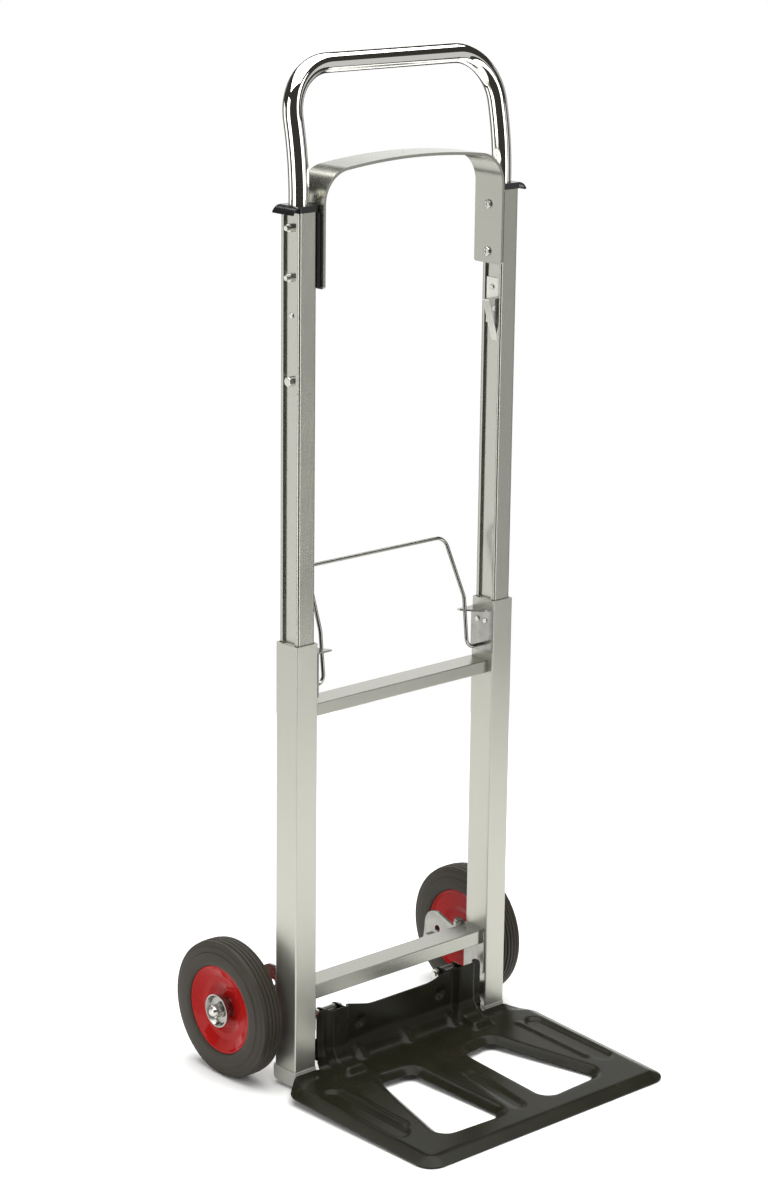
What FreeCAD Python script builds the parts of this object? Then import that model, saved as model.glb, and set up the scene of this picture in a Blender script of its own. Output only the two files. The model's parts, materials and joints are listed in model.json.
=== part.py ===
"""Folding aluminium hand truck, built as separate pieces in millimetres.

+X is to the truck's left as it faces the load, -Y points to the load side, +Z is up.  The working
frame has Y = 0 on the uprights' centre plane; each shape is moved by ORIGIN_Y when it is written,
so that the finished truck's origin is the bottom centre of its box.
"""
import FreeCAD, Part
import math
import os

os.makedirs("parts", exist_ok=True)
V = FreeCAD.Vector
X_AXIS = V(1, 0, 0)
Y_AXIS = V(0, 1, 0)
Z_AXIS = V(0, 0, 1)
ORIGIN_Y = 53.8

# ---- driving dimensions -------------------------------------------------------------------
TUBE_X = 137.1              # centre plane of each upright
LOWER_W, LOWER_D = 28.0, 33.0
LOWER_WALL = 1.6
LOWER_BOTTOM, LOWER_TOP = 20.7, 485.8
MID_W, MID_D = 22.6, 28.8
MID_WALL = 1.4
CHANNEL_DEPTH, CHANNEL_HALF = 2.6, 9.6
MID_BOTTOM, MID_TOP = 325.0, 924.5

BAR_FRONT, BAR_REAR = -9.9, 17.6
UPPER_BAR_Z, UPPER_BAR_H = (405.5, 419.3), 13.8
LOWER_BAR_Z, LOWER_BAR_H = (93.4, 109.5), 16.1
BAR_WALL = 1.5
PORT_Y = (-3.0, 6.0)
SCREW_R = 2.0
RIVET_R, RIVET_HEAD_R, RIVET_HEAD_H = 1.6, 3.0, 1.4

CAP_H = 6.5
HANDLE_R = 10.3
SWAGE_R, HANDLE_WALL = 7.0, 1.5
SWAGE_BOTTOM = 842.0
LEAN_RADIUS = 335.0
HANDLE_TOP_Y, HANDLE_TOP_Z = 20.0, 1063.5
HANDLE_BEND_Z = 973.5
HANDLE_CORNER_R = 52.0

STRAP_FACE, STRAP_T, STRAP_HALF = 122.2, 3.0, 20.0
STRAP_BOTTOM, STRAP_TOP = 848.0, 971.5
STRAP_CORNER_R, STRAP_CORNER_Z = 32.0, 931.0
STRAP_BOLT_Z = (909.0, 860.0)
STRAP_BOLT_R = 2.5

CATCH_TIP_Z, CATCH_LEDGE_Z, CATCH_TOP_Z = 766.0, 811.0, 832.0
CATCH_RIVET_Z, CATCH_BASE_Z = 822.0, 784.0
CATCH_HALF, CATCH_T, CATCH_REACH_X = 9.2, 1.3, 114.0
STUD_Z, STUD_R = 756.4, 5.0

BAIL_R = 2.0
BAIL_Y, BAIL_Z = 0.0, 435.5
BAIL_LEG_X, BAIL_TOP_X = 101.0, 96.5
BAIL_KNEE_Y, BAIL_KNEE_Z = 6.0, 490.0
BAIL_TOP_Y, BAIL_TOP_Z = 34.0, 551.5
BAIL_PLATE_Z, BAIL_PLATE_T = (428.0, 475.5), 1.8

TOE_PIVOT_Y, TOE_PIVOT_Z, TOE_PIN_R = 0.0, 36.0, 4.0
TOE_FRONT_Y, TOE_REAR_Y = -249.9, -20.5
TOE_HALF_FRONT, TOE_HALF_REAR = 172.7, 176.4
TOE_TOP_Z, TOE_RIM, TOE_SHEET = 16.8, 8.0, 2.2
TOE_SLOPE = 2.02            # degrees, front edge lower than the rear
FLANGE_HALF, FLANGE_FRONT_Y = 118.0, -13.0
FLANGE_MID_Z, FLANGE_EAR_Z = 69.0, 77.0
EAR_FOOT_X, EAR_HEAD_X = 54.0, 70.0         # where each ear leaves the middle height and where it is full
BEND_R = 24.0
CAM_Y, CAM_Z, CAM_BOLT_R = 8.0, 66.0, 3.0
SPACER_X = (76.0, 96.0)

HINGE_X, HINGE_Y, HINGE_R, HINGE_PIN_R = 119.5, 24.5, 5.5, 3.0
KNUCKLE_LOW, KNUCKLE_MID, KNUCKLE_HIGH = (79.0, 86.0), (86.4, 103.6), (104.0, 111.0)
HINGE_PLATE_Z = (58.0, 112.0)
PLATE_T = 2.0

WHEEL_Y, WHEEL_R = 67.0, 75.0
TYRE_OUT, TYRE_IN = 188.0, 158.0
RIM_R = 48.0
AXLE_R, AXLE_END = 5.0, 194.0
HUB_END = 190.5
BRACKET_X = (HINGE_X - 1.5, HINGE_X + 1.5)
BOSS_END = 156.6
FIT = 0.06                  # radial clearance of a running fit

INNER_FACE = TUBE_X - LOWER_W / 2           # inner face of a lower tube
INNER_WALL = INNER_FACE + LOWER_WALL        # the same wall from inside the tube
MID_INNER = TUBE_X - MID_W / 2
MID_OUTER = TUBE_X + MID_W / 2
FLOOR_IN = MID_INNER + CHANNEL_DEPTH        # floor of the inner channel
FLOOR_OUT = MID_OUTER - CHANNEL_DEPTH       # floor of the outer channel
LUG_X = (FLANGE_HALF - TOE_SHEET, FLANGE_HALF)


# ---- small helpers ------------------------------------------------------------------------
def box(x_range, y_range, z_range):
    """A box between three (low, high) pairs."""
    lows = [min(x_range), min(y_range), min(z_range)]
    sizes = [abs(x_range[1] - x_range[0]), abs(y_range[1] - y_range[0]), abs(z_range[1] - z_range[0])]
    return Part.makeBox(*sizes, V(*lows))


def rod_x(radius, x_range, y, z):
    """A cylinder along X."""
    return Part.makeCylinder(radius, abs(x_range[1] - x_range[0]), V(min(x_range), y, z), X_AXIS)


def rod_z(radius, x, y, z_range):
    """A cylinder along Z."""
    return Part.makeCylinder(radius, abs(z_range[1] - z_range[0]), V(x, y, min(z_range)), Z_AXIS)


def hex_x(across_flats, x_range, y, z):
    """A hexagonal prism along X."""
    radius = across_flats / math.sqrt(3)
    ring = [V(min(x_range), y + radius * math.cos(a), z + radius * math.sin(a))
            for a in (math.radians(60 * i) for i in range(7))]
    return Part.Face(Part.makePolygon(ring)).extrude(V(abs(x_range[1] - x_range[0]), 0, 0))


def mirrored(shape):
    """The same shape on the other side of the centre plane."""
    return shape.mirror(V(0, 0, 0), X_AXIS)


def joined(shapes):
    """Fuse a list of touching shapes into one solid without seam lines."""
    whole = shapes[0]
    for extra in shapes[1:]:
        whole = whole.fuse(extra)
    return whole.removeSplitter()


def drilled(shape, tools):
    """Cut a list of tools out of a shape."""
    for tool in tools:
        shape = shape.cut(tool)
    return shape


def filleted_edges(shape, radius, chosen):
    """Round the edges for which chosen(edge) is true."""
    return shape.makeFillet(radius, [edge for edge in shape.Edges if chosen(edge)])


def runs_along(edge, axis):
    """True for a straight edge parallel to an axis."""
    if not isinstance(edge.Curve, Part.Line):
        return False
    direction = edge.Vertexes[-1].Point.sub(edge.Vertexes[0].Point)
    return direction.Length > 1e-6 and abs(abs(direction.normalize().dot(axis)) - 1) < 1e-6


def rounded_path(points, radii):
    """A wire of straight runs joined by tangent arcs at the inner points."""
    edges = []
    start = points[0]
    for before, corner, after, radius in zip(points, points[1:], points[2:], radii):
        back = before.sub(corner).normalize()
        ahead = after.sub(corner).normalize()
        half = back.getAngle(ahead) / 2
        reach = radius / math.tan(half)
        arc_start = corner + back * reach
        arc_end = corner + ahead * reach
        bisector = (back + ahead).normalize()
        middle = corner + bisector * (radius / math.sin(half) - radius)
        edges.append(Part.LineSegment(start, arc_start).toShape())
        edges.append(Part.Arc(arc_start, middle, arc_end).toShape())
        start = arc_end
    edges.append(Part.LineSegment(start, points[-1]).toShape())
    return Part.Wire(edges)


def swept_rod(path, radius):
    """A round rod along a wire of straight runs and arcs."""
    pieces = []
    for edge in path.OrderedEdges:
        start = edge.valueAt(edge.FirstParameter)
        tangent = edge.tangentAt(edge.FirstParameter)
        section = Part.Face(Part.Wire(Part.Circle(start, tangent, radius).toShape()))
        if isinstance(edge.Curve, Part.Line):
            pieces.append(section.extrude(edge.valueAt(edge.LastParameter).sub(start)))
        else:
            centre = edge.Curve.Center
            axis = start.sub(centre).cross(tangent)
            pieces.append(section.revolve(centre, axis, math.degrees(edge.Length / edge.Curve.Radius)))
    return joined(pieces)


def turned(profile, y, z):
    """Revolve (x, r) points round an axis along X through (y, z)."""
    ring = [V(x, y + r, z) for x, r in profile]
    ring.append(ring[0])
    return Part.Face(Part.makePolygon(ring)).revolve(V(0, y, z), X_AXIS, 360)


def capsule_x(first, second, x_range):
    """The plate that wraps two circles (y, z, r), extruded along X."""
    (y1, z1, r1), (y2, z2, r2) = first, second
    length = math.hypot(y2 - y1, z2 - z1)
    heading = math.atan2(z2 - z1, y2 - y1)
    spread = math.acos((r1 - r2) / length)
    low = min(x_range)
    corners = []
    for y, z, r, sign in ((y1, z1, r1, 1), (y2, z2, r2, 1), (y2, z2, r2, -1), (y1, z1, r1, -1)):
        angle = heading + sign * spread
        corners.append(V(low, y + r * math.cos(angle), z + r * math.sin(angle)))
    corners.append(corners[0])
    thickness = abs(x_range[1] - x_range[0])
    core = Part.Face(Part.makePolygon(corners)).extrude(V(thickness, 0, 0))
    return joined([core, rod_x(r1, x_range, y1, z1), rod_x(r2, x_range, y2, z2)])


def write(name, shapes):
    """Write one node: a single solid, or a group of separate solids."""
    solids = []
    for shape in shapes if isinstance(shapes, list) else [shapes]:
        solids.extend(shape.Solids)
    shape = solids[0] if len(solids) == 1 else Part.makeCompound(solids)
    shape = shape.copy()
    shape.translate(V(0, ORIGIN_Y, 0))
    shape.exportStep("parts/" + name + ".step")
    print(name, len(solids), "valid" if shape.isValid() else "NOT VALID", round(shape.Volume))


def write_pair(name, right):
    """Write the right-hand shape and its mirror image as NAME_right and NAME_left."""
    write(name + "_right", right)
    write(name + "_left", mirrored(right))


# ---- lower frame --------------------------------------------------------------------------
def lower_tube():
    """Rectangular tube with the holes of every fastener on its inner face."""
    outer = box((INNER_FACE, INNER_FACE + LOWER_W), (-LOWER_D / 2, LOWER_D / 2), (LOWER_BOTTOM, LOWER_TOP))
    outer = filleted_edges(outer, 1.5, lambda edge: runs_along(edge, Z_AXIS))
    cavity = box((INNER_WALL, INNER_WALL + LOWER_W - 2 * LOWER_WALL),
                 (-LOWER_D / 2 + LOWER_WALL, LOWER_D / 2 - LOWER_WALL), (0, LOWER_TOP + 1))
    wall = (INNER_FACE - 1, INNER_WALL + 1)
    holes = [rod_x(SCREW_R + FIT, wall, y, sum(z_range) / 2)
             for z_range in (UPPER_BAR_Z, LOWER_BAR_Z) for y in PORT_Y]
    holes += [rod_x(RIVET_R + FIT, wall, y, z) for y, z in wall_rivets()]
    holes.append(rod_x(BAIL_R + FIT, wall, BAIL_Y, BAIL_Z))
    holes.append(rod_x(TOE_PIN_R + FIT, wall, TOE_PIVOT_Y, TOE_PIVOT_Z))
    return drilled(outer.cut(cavity), holes)


def wall_rivets():
    """(y, z) of the rivets that hold the bail bracket and the hinge plate to a lower tube."""
    return [(-6.0, 463.0), (6.0, 463.0), (0.0, 66.0)]


def rivet_x(head_x, plate_x, y, z):
    """A rivet along X: a low head inside the tube and a domed one on the plate."""
    shank = rod_x(RIVET_R, (plate_x, head_x), y, z)
    inside = rod_x(RIVET_HEAD_R, (head_x, head_x + RIVET_HEAD_H), y, z)
    dome = rod_x(RIVET_HEAD_R, (plate_x - RIVET_HEAD_H, plate_x), y, z)
    dome = filleted_edges(dome, 1.0, lambda edge: abs(edge.CenterOfMass.x - plate_x) > 1 and
                          isinstance(edge.Curve, Part.Circle))
    return joined([shank, inside, dome])


def cross_bar(z_range, half_length):
    """Rectangular extrusion with two screw ports along it."""
    height = z_range[1] - z_range[0]
    outer = box((-half_length, half_length), (BAR_FRONT, BAR_REAR), z_range)
    outer = filleted_edges(outer, 1.0, lambda edge: runs_along(edge, X_AXIS))
    cavity = box((-half_length - 1, half_length + 1), (BAR_FRONT + BAR_WALL, BAR_REAR - BAR_WALL),
                 (z_range[0] + BAR_WALL, z_range[1] - BAR_WALL))
    middle = sum(z_range) / 2
    reach = (-half_length, half_length)
    web_t = 1.6
    ports = []
    for y in PORT_Y:
        ports.append(rod_x(SCREW_R + 1.7, reach, y, middle))
        ports.append(box(reach, (y - web_t / 2, y + web_t / 2),
                         (middle - height / 2 + 0.5, middle + height / 2 - 0.5)))
    bores = [rod_x(SCREW_R + FIT, (-half_length - 1, half_length + 1), y, middle) for y in PORT_Y]
    return drilled(joined([outer.cut(cavity)] + ports), bores)


def bar_screw(y, z):
    """Low-head screw from inside the lower tube into a cross-bar's port."""
    head_h, head_r, depth = 2.2, 3.2, 18.0
    shank = rod_x(SCREW_R, (INNER_FACE - depth, INNER_WALL), y, z)
    head = rod_x(head_r, (INNER_WALL, INNER_WALL + head_h), y, z)
    return joined([shank, head])


def foot_plug():
    """Rounded plastic foot with a spigot inside the tube."""
    lip = 0.7
    foot = box((INNER_FACE - lip, INNER_FACE + LOWER_W + lip), (-LOWER_D / 2 - lip, LOWER_D / 2 + 3.0),
               (3.0, LOWER_BOTTOM))
    foot = filleted_edges(foot, 6.0, lambda edge: runs_along(edge, X_AXIS) and edge.CenterOfMass.z < 4)
    foot = filleted_edges(foot, 2.0, lambda edge: runs_along(edge, Z_AXIS))
    gap = LOWER_WALL + 0.1
    spigot = box((INNER_FACE + gap, INNER_FACE + LOWER_W - gap),
                 (-LOWER_D / 2 + gap, LOWER_D / 2 - gap), (LOWER_BOTTOM - 1, 29.0))
    return joined([foot, spigot])


def guide_pads():
    """Two plastic pads inside a lower tube's mouth, running in the mid tube's channels."""
    clearance, half, z_range = 0.3, 8.6, (476.0, 485.0)
    inner = box((INNER_WALL, FLOOR_IN - clearance), (-half, half), z_range)
    outer = box((FLOOR_OUT + clearance, INNER_FACE + LOWER_W - LOWER_WALL), (-half, half), z_range)
    return [inner, outer]


def bail_bracket(tab_side, tip_x):
    """L-shaped plate with a pointed tab; tab_side is +1 or -1, the side of the point in Y."""
    tab_t = 2.0
    inside = INNER_FACE - BAIL_PLATE_T
    plate = box((inside, INNER_FACE), (-16.0, 16.0), BAIL_PLATE_Z)
    top = BAIL_PLATE_Z[1]
    outline = [V(INNER_FACE, 15.5 * tab_side, top), V(INNER_FACE, -11.0 * tab_side, top),
               V(117.5, -9.0 * tab_side, top), V(tip_x + 1.0, 12.5 * tab_side, top),
               V(tip_x, 15.5 * tab_side, top)]
    outline.append(outline[0])
    tab = Part.Face(Part.makePolygon(outline)).extrude(V(0, 0, -tab_t))
    bracket = joined([plate, tab])
    reach = (inside - 1, INNER_FACE + 1)
    holes = [rod_x(BAIL_R + FIT, reach, BAIL_Y, BAIL_Z)]
    holes += [rod_x(RIVET_R + FIT, reach, y, z) for y, z in wall_rivets()[:2]]
    return drilled(bracket, holes)


def hinge_plate():
    """Plate on the lower tube's inner face with two knuckles behind the tube."""
    face = (INNER_FACE - PLATE_T, INNER_FACE)
    plate = box(face, (-14.0, BAR_REAR - 1.0), HINGE_PLATE_Z)
    plate = filleted_edges(plate, 4.0, lambda edge: runs_along(edge, X_AXIS) and edge.CenterOfMass.y < 0)
    shapes = [plate]
    bores = []
    for z_range in (KNUCKLE_LOW, KNUCKLE_HIGH):
        shapes.append(box(face, (BAR_REAR - 3.0, HINGE_Y), z_range))
        shapes.append(rod_z(HINGE_R, HINGE_X, HINGE_Y, z_range))
        bores.append(rod_z(HINGE_PIN_R + FIT, HINGE_X, HINGE_Y, (z_range[0] - 1, z_range[1] + 1)))
    reach = (INNER_FACE - 5, INNER_FACE + 1)
    bores += [rod_x(SCREW_R + FIT, reach, y, sum(LOWER_BAR_Z) / 2) for y in PORT_Y]
    bores.append(rod_x(RIVET_R + FIT, reach, *wall_rivets()[2]))
    return drilled(joined(shapes), bores)


def hinge_pin():
    """Upright pin with a flat head on top of the upper knuckle."""
    pin = rod_z(HINGE_PIN_R, HINGE_X, HINGE_Y, (KNUCKLE_LOW[0] - 1.0, KNUCKLE_HIGH[1]))
    head = rod_z(4.6, HINGE_X, HINGE_Y, (KNUCKLE_HIGH[1], KNUCKLE_HIGH[1] + 2.0))
    return joined([pin, head])


def toe_pivot_pin():
    """Shouldered rivet through the toe plate's side lug and the tube's wall."""
    shank = rod_x(TOE_PIN_R, (LUG_X[0], INNER_WALL), TOE_PIVOT_Y, TOE_PIVOT_Z)
    inner_head = rod_x(7.0, (LUG_X[0] - 3.0, LUG_X[0] - 0.2), TOE_PIVOT_Y, TOE_PIVOT_Z)
    neck = rod_x(TOE_PIN_R, (LUG_X[0] - 0.3, LUG_X[0] + 0.1), TOE_PIVOT_Y, TOE_PIVOT_Z)
    tube_head = rod_x(6.0, (INNER_WALL, INNER_WALL + 2.3), TOE_PIVOT_Y, TOE_PIVOT_Z)
    return joined([shank, neck, inner_head, tube_head])


def toe_pivot_bush():
    """Spacer bush between the side lug and the tube."""
    reach = (FLANGE_HALF + 0.3, INNER_FACE)
    return rod_x(7.5, reach, TOE_PIVOT_Y, TOE_PIVOT_Z).cut(
        rod_x(TOE_PIN_R + FIT, (reach[0] - 1, reach[1] + 1), TOE_PIVOT_Y, TOE_PIVOT_Z))


# ---- upper section ------------------------------------------------------------------------
def channelled_bar(width, depth, channel_depth, channel_half, z_range, corner=2.4):
    """Solid bar with a shallow channel down both side faces."""
    bar = box((TUBE_X - width / 2, TUBE_X + width / 2), (-depth / 2, depth / 2), z_range)
    bar = filleted_edges(bar, corner, lambda edge: runs_along(edge, Z_AXIS))
    low, high = z_range[0] - 1, z_range[1] + 1
    half = width / 2
    for side in (-1, 1):
        floor = TUBE_X + side * (half - channel_depth)
        bar = bar.cut(box((floor, floor + side * 5), (-channel_half, channel_half), (low, high)))
    return bar


def mid_tube():
    """Channelled tube, drilled for the strap bolts, catch rivet and travel stop."""
    outer = channelled_bar(MID_W, MID_D, CHANNEL_DEPTH, CHANNEL_HALF, (MID_BOTTOM, MID_TOP))
    half = MID_W / 2 - CHANNEL_DEPTH - MID_WALL
    cavity = box((TUBE_X - half, TUBE_X + half), (-MID_D / 2 + MID_WALL, MID_D / 2 - MID_WALL),
                 (MID_BOTTOM - 1, MID_TOP + 1))
    through = (MID_INNER - 1, MID_OUTER + 1)
    holes = [rod_x(STRAP_BOLT_R + FIT, through, 0, z) for z in STRAP_BOLT_Z]
    holes.append(rod_x(RIVET_R + FIT, through, 0, CATCH_RIVET_Z))
    holes.append(rod_x(2.0 + FIT, (TUBE_X, MID_OUTER + 1), 0, STUD_Z))
    return drilled(outer.cut(cavity), holes)


def glide_shoe():
    """Plastic end on the mid tube that slides inside the lower tube."""
    grow = 0.35
    collar = channelled_bar(MID_W + 2 * grow, MID_D + 2 * grow, CHANNEL_DEPTH + grow, CHANNEL_HALF + 0.2,
                            (MID_BOTTOM - 13.0, MID_BOTTOM))
    half = MID_W / 2 - CHANNEL_DEPTH - MID_WALL - 0.1
    plug = box((TUBE_X - half, TUBE_X + half), (-MID_D / 2 + MID_WALL + 0.1, MID_D / 2 - MID_WALL - 0.1),
               (MID_BOTTOM - 1, MID_BOTTOM + 14.0))
    return joined([collar, plug])


def top_cap():
    """Plastic cap with a curved wing that overhangs the tube's outer face."""
    top = MID_TOP + CAP_H
    body = box((MID_INNER - 0.9, MID_OUTER + 1.0), (-MID_D / 2 - 1.0, MID_D / 2 + 1.0), (MID_TOP, top))
    body = filleted_edges(body, 2.5, lambda edge: runs_along(edge, Z_AXIS))
    wing_r, wing_t = 12.0, 1.8
    centre_x, centre_z = MID_OUTER - 1.0, top - wing_r
    half_depth = MID_D / 2 + 1.0

    def arc_point(radius, angle):
        return V(centre_x + radius * math.cos(angle), -half_depth, centre_z + radius * math.sin(angle))

    top_angle, mid_angle, tip_angle = (math.radians(a) for a in (90, 55, 22))
    outer, inner = wing_r, wing_r - wing_t
    edges = [Part.Arc(arc_point(outer, top_angle), arc_point(outer, mid_angle),
                      arc_point(outer, tip_angle)).toShape(),
             Part.LineSegment(arc_point(outer, tip_angle), arc_point(inner, tip_angle)).toShape(),
             Part.Arc(arc_point(inner, tip_angle), arc_point(inner, mid_angle),
                      arc_point(inner, top_angle)).toShape(),
             Part.LineSegment(arc_point(inner, top_angle), arc_point(outer, top_angle)).toShape()]
    wing = Part.Face(Part.Wire(edges)).extrude(V(0, 2 * half_depth, 0))
    prongs = []
    half = MID_W / 2 - CHANNEL_DEPTH - MID_WALL - 0.15
    for side in (-1, 1):
        prongs.append(box((TUBE_X - half, TUBE_X + half),
                          (side * (SWAGE_R + 0.8), side * (MID_D / 2 - MID_WALL - 0.15)),
                          (MID_TOP - 10.0, MID_TOP + 1)))
    cap = joined([body, wing] + prongs)
    cap = cap.cut(box((MID_INNER, MID_OUTER), (-MID_D / 2, MID_D / 2), (MID_TOP - 20, MID_TOP)).cut(
        joined([box((TUBE_X - half, TUBE_X + half), (-MID_D / 2 + 1.5, MID_D / 2 - 1.5),
                    (MID_TOP - 20, MID_TOP))])))
    return cap.cut(rod_z(SWAGE_R + FIT, TUBE_X, 0, (MID_TOP - 20, top + 1)))


def handle_path(start_z):
    """Centre line of the handle above the caps: legs lean back, then a round-cornered top bar."""
    side = [V(TUBE_X, 0, start_z), V(TUBE_X, 0, HANDLE_BEND_Z), V(TUBE_X, HANDLE_TOP_Y, HANDLE_TOP_Z)]
    points = side + [V(-p.x, p.y, p.z) for p in reversed(side)]
    radii = [LEAN_RADIUS, HANDLE_CORNER_R, HANDLE_CORNER_R, LEAN_RADIUS]
    return rounded_path(points, radii)


def handle():
    """Chromed U tube whose swaged ends run down inside the mid tubes."""
    shoulder = MID_TOP + CAP_H
    path = handle_path(shoulder)
    outside = [swept_rod(path, HANDLE_R)]
    inside = [swept_rod(path, SWAGE_R - HANDLE_WALL)]
    bolts = []
    for side in (-1, 1):
        outside.append(rod_z(SWAGE_R, side * TUBE_X, 0, (SWAGE_BOTTOM, shoulder + 2.0)))
        inside.append(rod_z(SWAGE_R - HANDLE_WALL, side * TUBE_X, 0, (SWAGE_BOTTOM - 1, shoulder + 1.0)))
        reach = (side * (TUBE_X - 12), side * (TUBE_X + 12))
        bolts += [rod_x(STRAP_BOLT_R + FIT, reach, 0, z) for z in STRAP_BOLT_Z]
    return drilled(joined(outside), [joined(inside)] + bolts)


def strap_outline(face, corner_r):
    """Half-outline of the strap's face: leg, corner arc and crown arc, as edges from right to left."""
    centre_x = STRAP_FACE - STRAP_T - STRAP_CORNER_R
    rise = STRAP_TOP - STRAP_T - STRAP_CORNER_Z
    crown_r = (centre_x ** 2 + rise ** 2 - STRAP_CORNER_R ** 2) / (2 * (rise - STRAP_CORNER_R))
    crown_z = STRAP_TOP - STRAP_T - crown_r
    crown_face_r = crown_r + corner_r - STRAP_CORNER_R
    lean = math.atan2(STRAP_CORNER_Z - crown_z, centre_x)
    y = -STRAP_HALF

    def on_corner(angle, sign):
        across = centre_x + corner_r * math.cos(angle)
        return V(sign * across, y, STRAP_CORNER_Z + corner_r * math.sin(angle))

    top = V(0, y, crown_z + crown_face_r)
    right = [Part.LineSegment(V(face, y, STRAP_BOTTOM), on_corner(0, 1)).toShape(),
             Part.Arc(on_corner(0, 1), on_corner(lean / 2, 1), on_corner(lean, 1)).toShape()]
    crown = Part.Arc(on_corner(lean, 1), top, on_corner(lean, -1)).toShape()
    left = [Part.Arc(on_corner(lean, -1), on_corner(lean / 2, -1), on_corner(0, -1)).toShape(),
            Part.LineSegment(on_corner(0, -1), V(-face, y, STRAP_BOTTOM)).toShape()]
    return right + [crown] + left


def grab_strap():
    """Flat bar bent into an arch between the mid tubes."""
    inner_face = STRAP_FACE - STRAP_T
    y = -STRAP_HALF
    outer = strap_outline(STRAP_FACE, STRAP_CORNER_R + STRAP_T)
    inner = strap_outline(inner_face, STRAP_CORNER_R)
    ends = [Part.LineSegment(V(side * STRAP_FACE, y, STRAP_BOTTOM),
                             V(side * inner_face, y, STRAP_BOTTOM)).toShape() for side in (1, -1)]
    wire = Part.Wire(Part.__sortEdges__(outer + inner + ends))
    strap = Part.Face(wire).extrude(V(0, 2 * STRAP_HALF, 0))
    strap = filleted_edges(strap, 3.0, lambda edge: runs_along(edge, X_AXIS) and
                           edge.CenterOfMass.z < STRAP_BOTTOM + 1)
    holes = [rod_x(STRAP_BOLT_R + FIT, (side * (inner_face - 1), side * (STRAP_FACE + 1)), 0, z)
             for side in (-1, 1) for z in STRAP_BOLT_Z]
    holes.append(rod_z(1.2, 0, 0, (STRAP_TOP - 5, STRAP_TOP + 1)))
    return drilled(strap, holes)


def strap_spacer():
    """Plastic strip between the strap and the mid tube."""
    strip = box((STRAP_FACE, MID_INNER), (-17.0, 17.0), (STRAP_BOTTOM + 2.0, MID_TOP - 1.0))
    return drilled(strip, [rod_x(STRAP_BOLT_R + FIT, (STRAP_FACE - 1, MID_INNER + 1), 0, z)
                           for z in STRAP_BOLT_Z])


def strap_screw(z):
    """Pan-head screw with a cross recess, from the strap's inner face to past the nut."""
    inner_face = STRAP_FACE - STRAP_T
    head_h, head_r = 2.8, 4.7
    shank = rod_x(STRAP_BOLT_R, (inner_face, MID_OUTER + 5.5), 0, z)
    head = rod_x(head_r, (inner_face - head_h, inner_face), 0, z)
    head = filleted_edges(head, 1.9, lambda edge: isinstance(edge.Curve, Part.Circle) and
                          edge.CenterOfMass.x < inner_face - 1)
    screw = joined([head, shank])
    outside = (inner_face - head_h - 1, inner_face - head_h + 1.3)
    for y_half, z_half in ((2.6, 0.5), (0.5, 2.6)):
        screw = screw.cut(box(outside, (-y_half, y_half), (z - z_half, z + z_half)))
    return screw


def strap_nut(z):
    """Hexagon nut in the mid tube's outer channel."""
    nut = hex_x(8.0, (FLOOR_OUT, FLOOR_OUT + 4.4), 0, z)
    nut = nut.common(turned([(FLOOR_OUT - 1, 0), (FLOOR_OUT - 1, 6), (FLOOR_OUT + 3.6, 4.9),
                             (FLOOR_OUT + 4.6, 4.0), (FLOOR_OUT + 4.6, 0)], 0, z))
    return nut.cut(rod_x(STRAP_BOLT_R + FIT, (FLOOR_OUT - 1, FLOOR_OUT + 6), 0, z))


def stop_catch(with_wedge):
    """Plate in the inner channel; with a wedge it folds out into a ledge, a ramp and a front cheek."""
    base_in, base_out = FLOOR_IN - CATCH_T, FLOOR_IN - 0.05
    catch = box((base_in, base_out), (-CATCH_HALF, CATCH_HALF), (CATCH_BASE_Z, CATCH_TOP_Z))
    holes = [rod_x(RIVET_R + FIT, (base_in - 1, base_out + 1), 0, CATCH_RIVET_Z)]
    if with_wedge:
        front, width, cheek_t, sheet = -CATCH_HALF, 10.0, 1.6, 1.6
        ledge = box((CATCH_REACH_X, base_out), (front, front + width), (CATCH_LEDGE_Z - sheet, CATCH_LEDGE_Z))
        rise = sheet * (CATCH_LEDGE_Z - CATCH_TIP_Z) / (base_out - CATCH_REACH_X)
        tip, corner = V(base_out, front, CATCH_TIP_Z), V(CATCH_REACH_X, front, CATCH_LEDGE_Z)
        slope = [corner, corner + V(sheet, 0, 0), tip + V(0, 0, rise), tip, corner]
        ramp = Part.Face(Part.makePolygon(slope)).extrude(V(0, width, 0))
        triangle = [corner, V(base_out, front, CATCH_LEDGE_Z), tip, corner]
        cheek = Part.Face(Part.makePolygon(triangle)).extrude(V(0, cheek_t, 0))
        catch = joined([catch, ledge, ramp, cheek])
        holes.append(Part.makeCylinder(2.6, 4.0, V(121.6, front - 1, 801.0), Y_AXIS))
    return drilled(catch, holes)


def catch_rivet():
    """Rivet through the mid tube that holds the catch."""
    inner = FLOOR_IN - CATCH_T
    shank = rod_x(RIVET_R, (inner, FLOOR_OUT), 0, CATCH_RIVET_Z)
    heads = []
    for x_range, outer_x in (((inner - 1.6, inner), inner - 1.6),
                             ((FLOOR_OUT, FLOOR_OUT + 1.8), FLOOR_OUT + 1.8)):
        head = rod_x(3.0, x_range, 0, CATCH_RIVET_Z)
        heads.append(filleted_edges(head, 1.3, lambda edge: isinstance(edge.Curve, Part.Circle) and
                                    abs(edge.CenterOfMass.x - outer_x) < 0.1))
    return joined([shank] + heads)


def travel_stop():
    """Round stud in the outer channel; it meets the lower tube's mouth when the handle is down."""
    outer_x = INNER_FACE + LOWER_W + 0.6
    head = rod_x(STUD_R, (FLOOR_OUT, outer_x), 0, STUD_Z)
    head = filleted_edges(head, 1.4, lambda edge: isinstance(edge.Curve, Part.Circle) and
                          edge.CenterOfMass.x > outer_x - 0.1)
    shank = rod_x(2.0, (FLOOR_OUT - MID_WALL - 2.0, FLOOR_OUT), 0, STUD_Z)
    return joined([head, shank])


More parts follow.
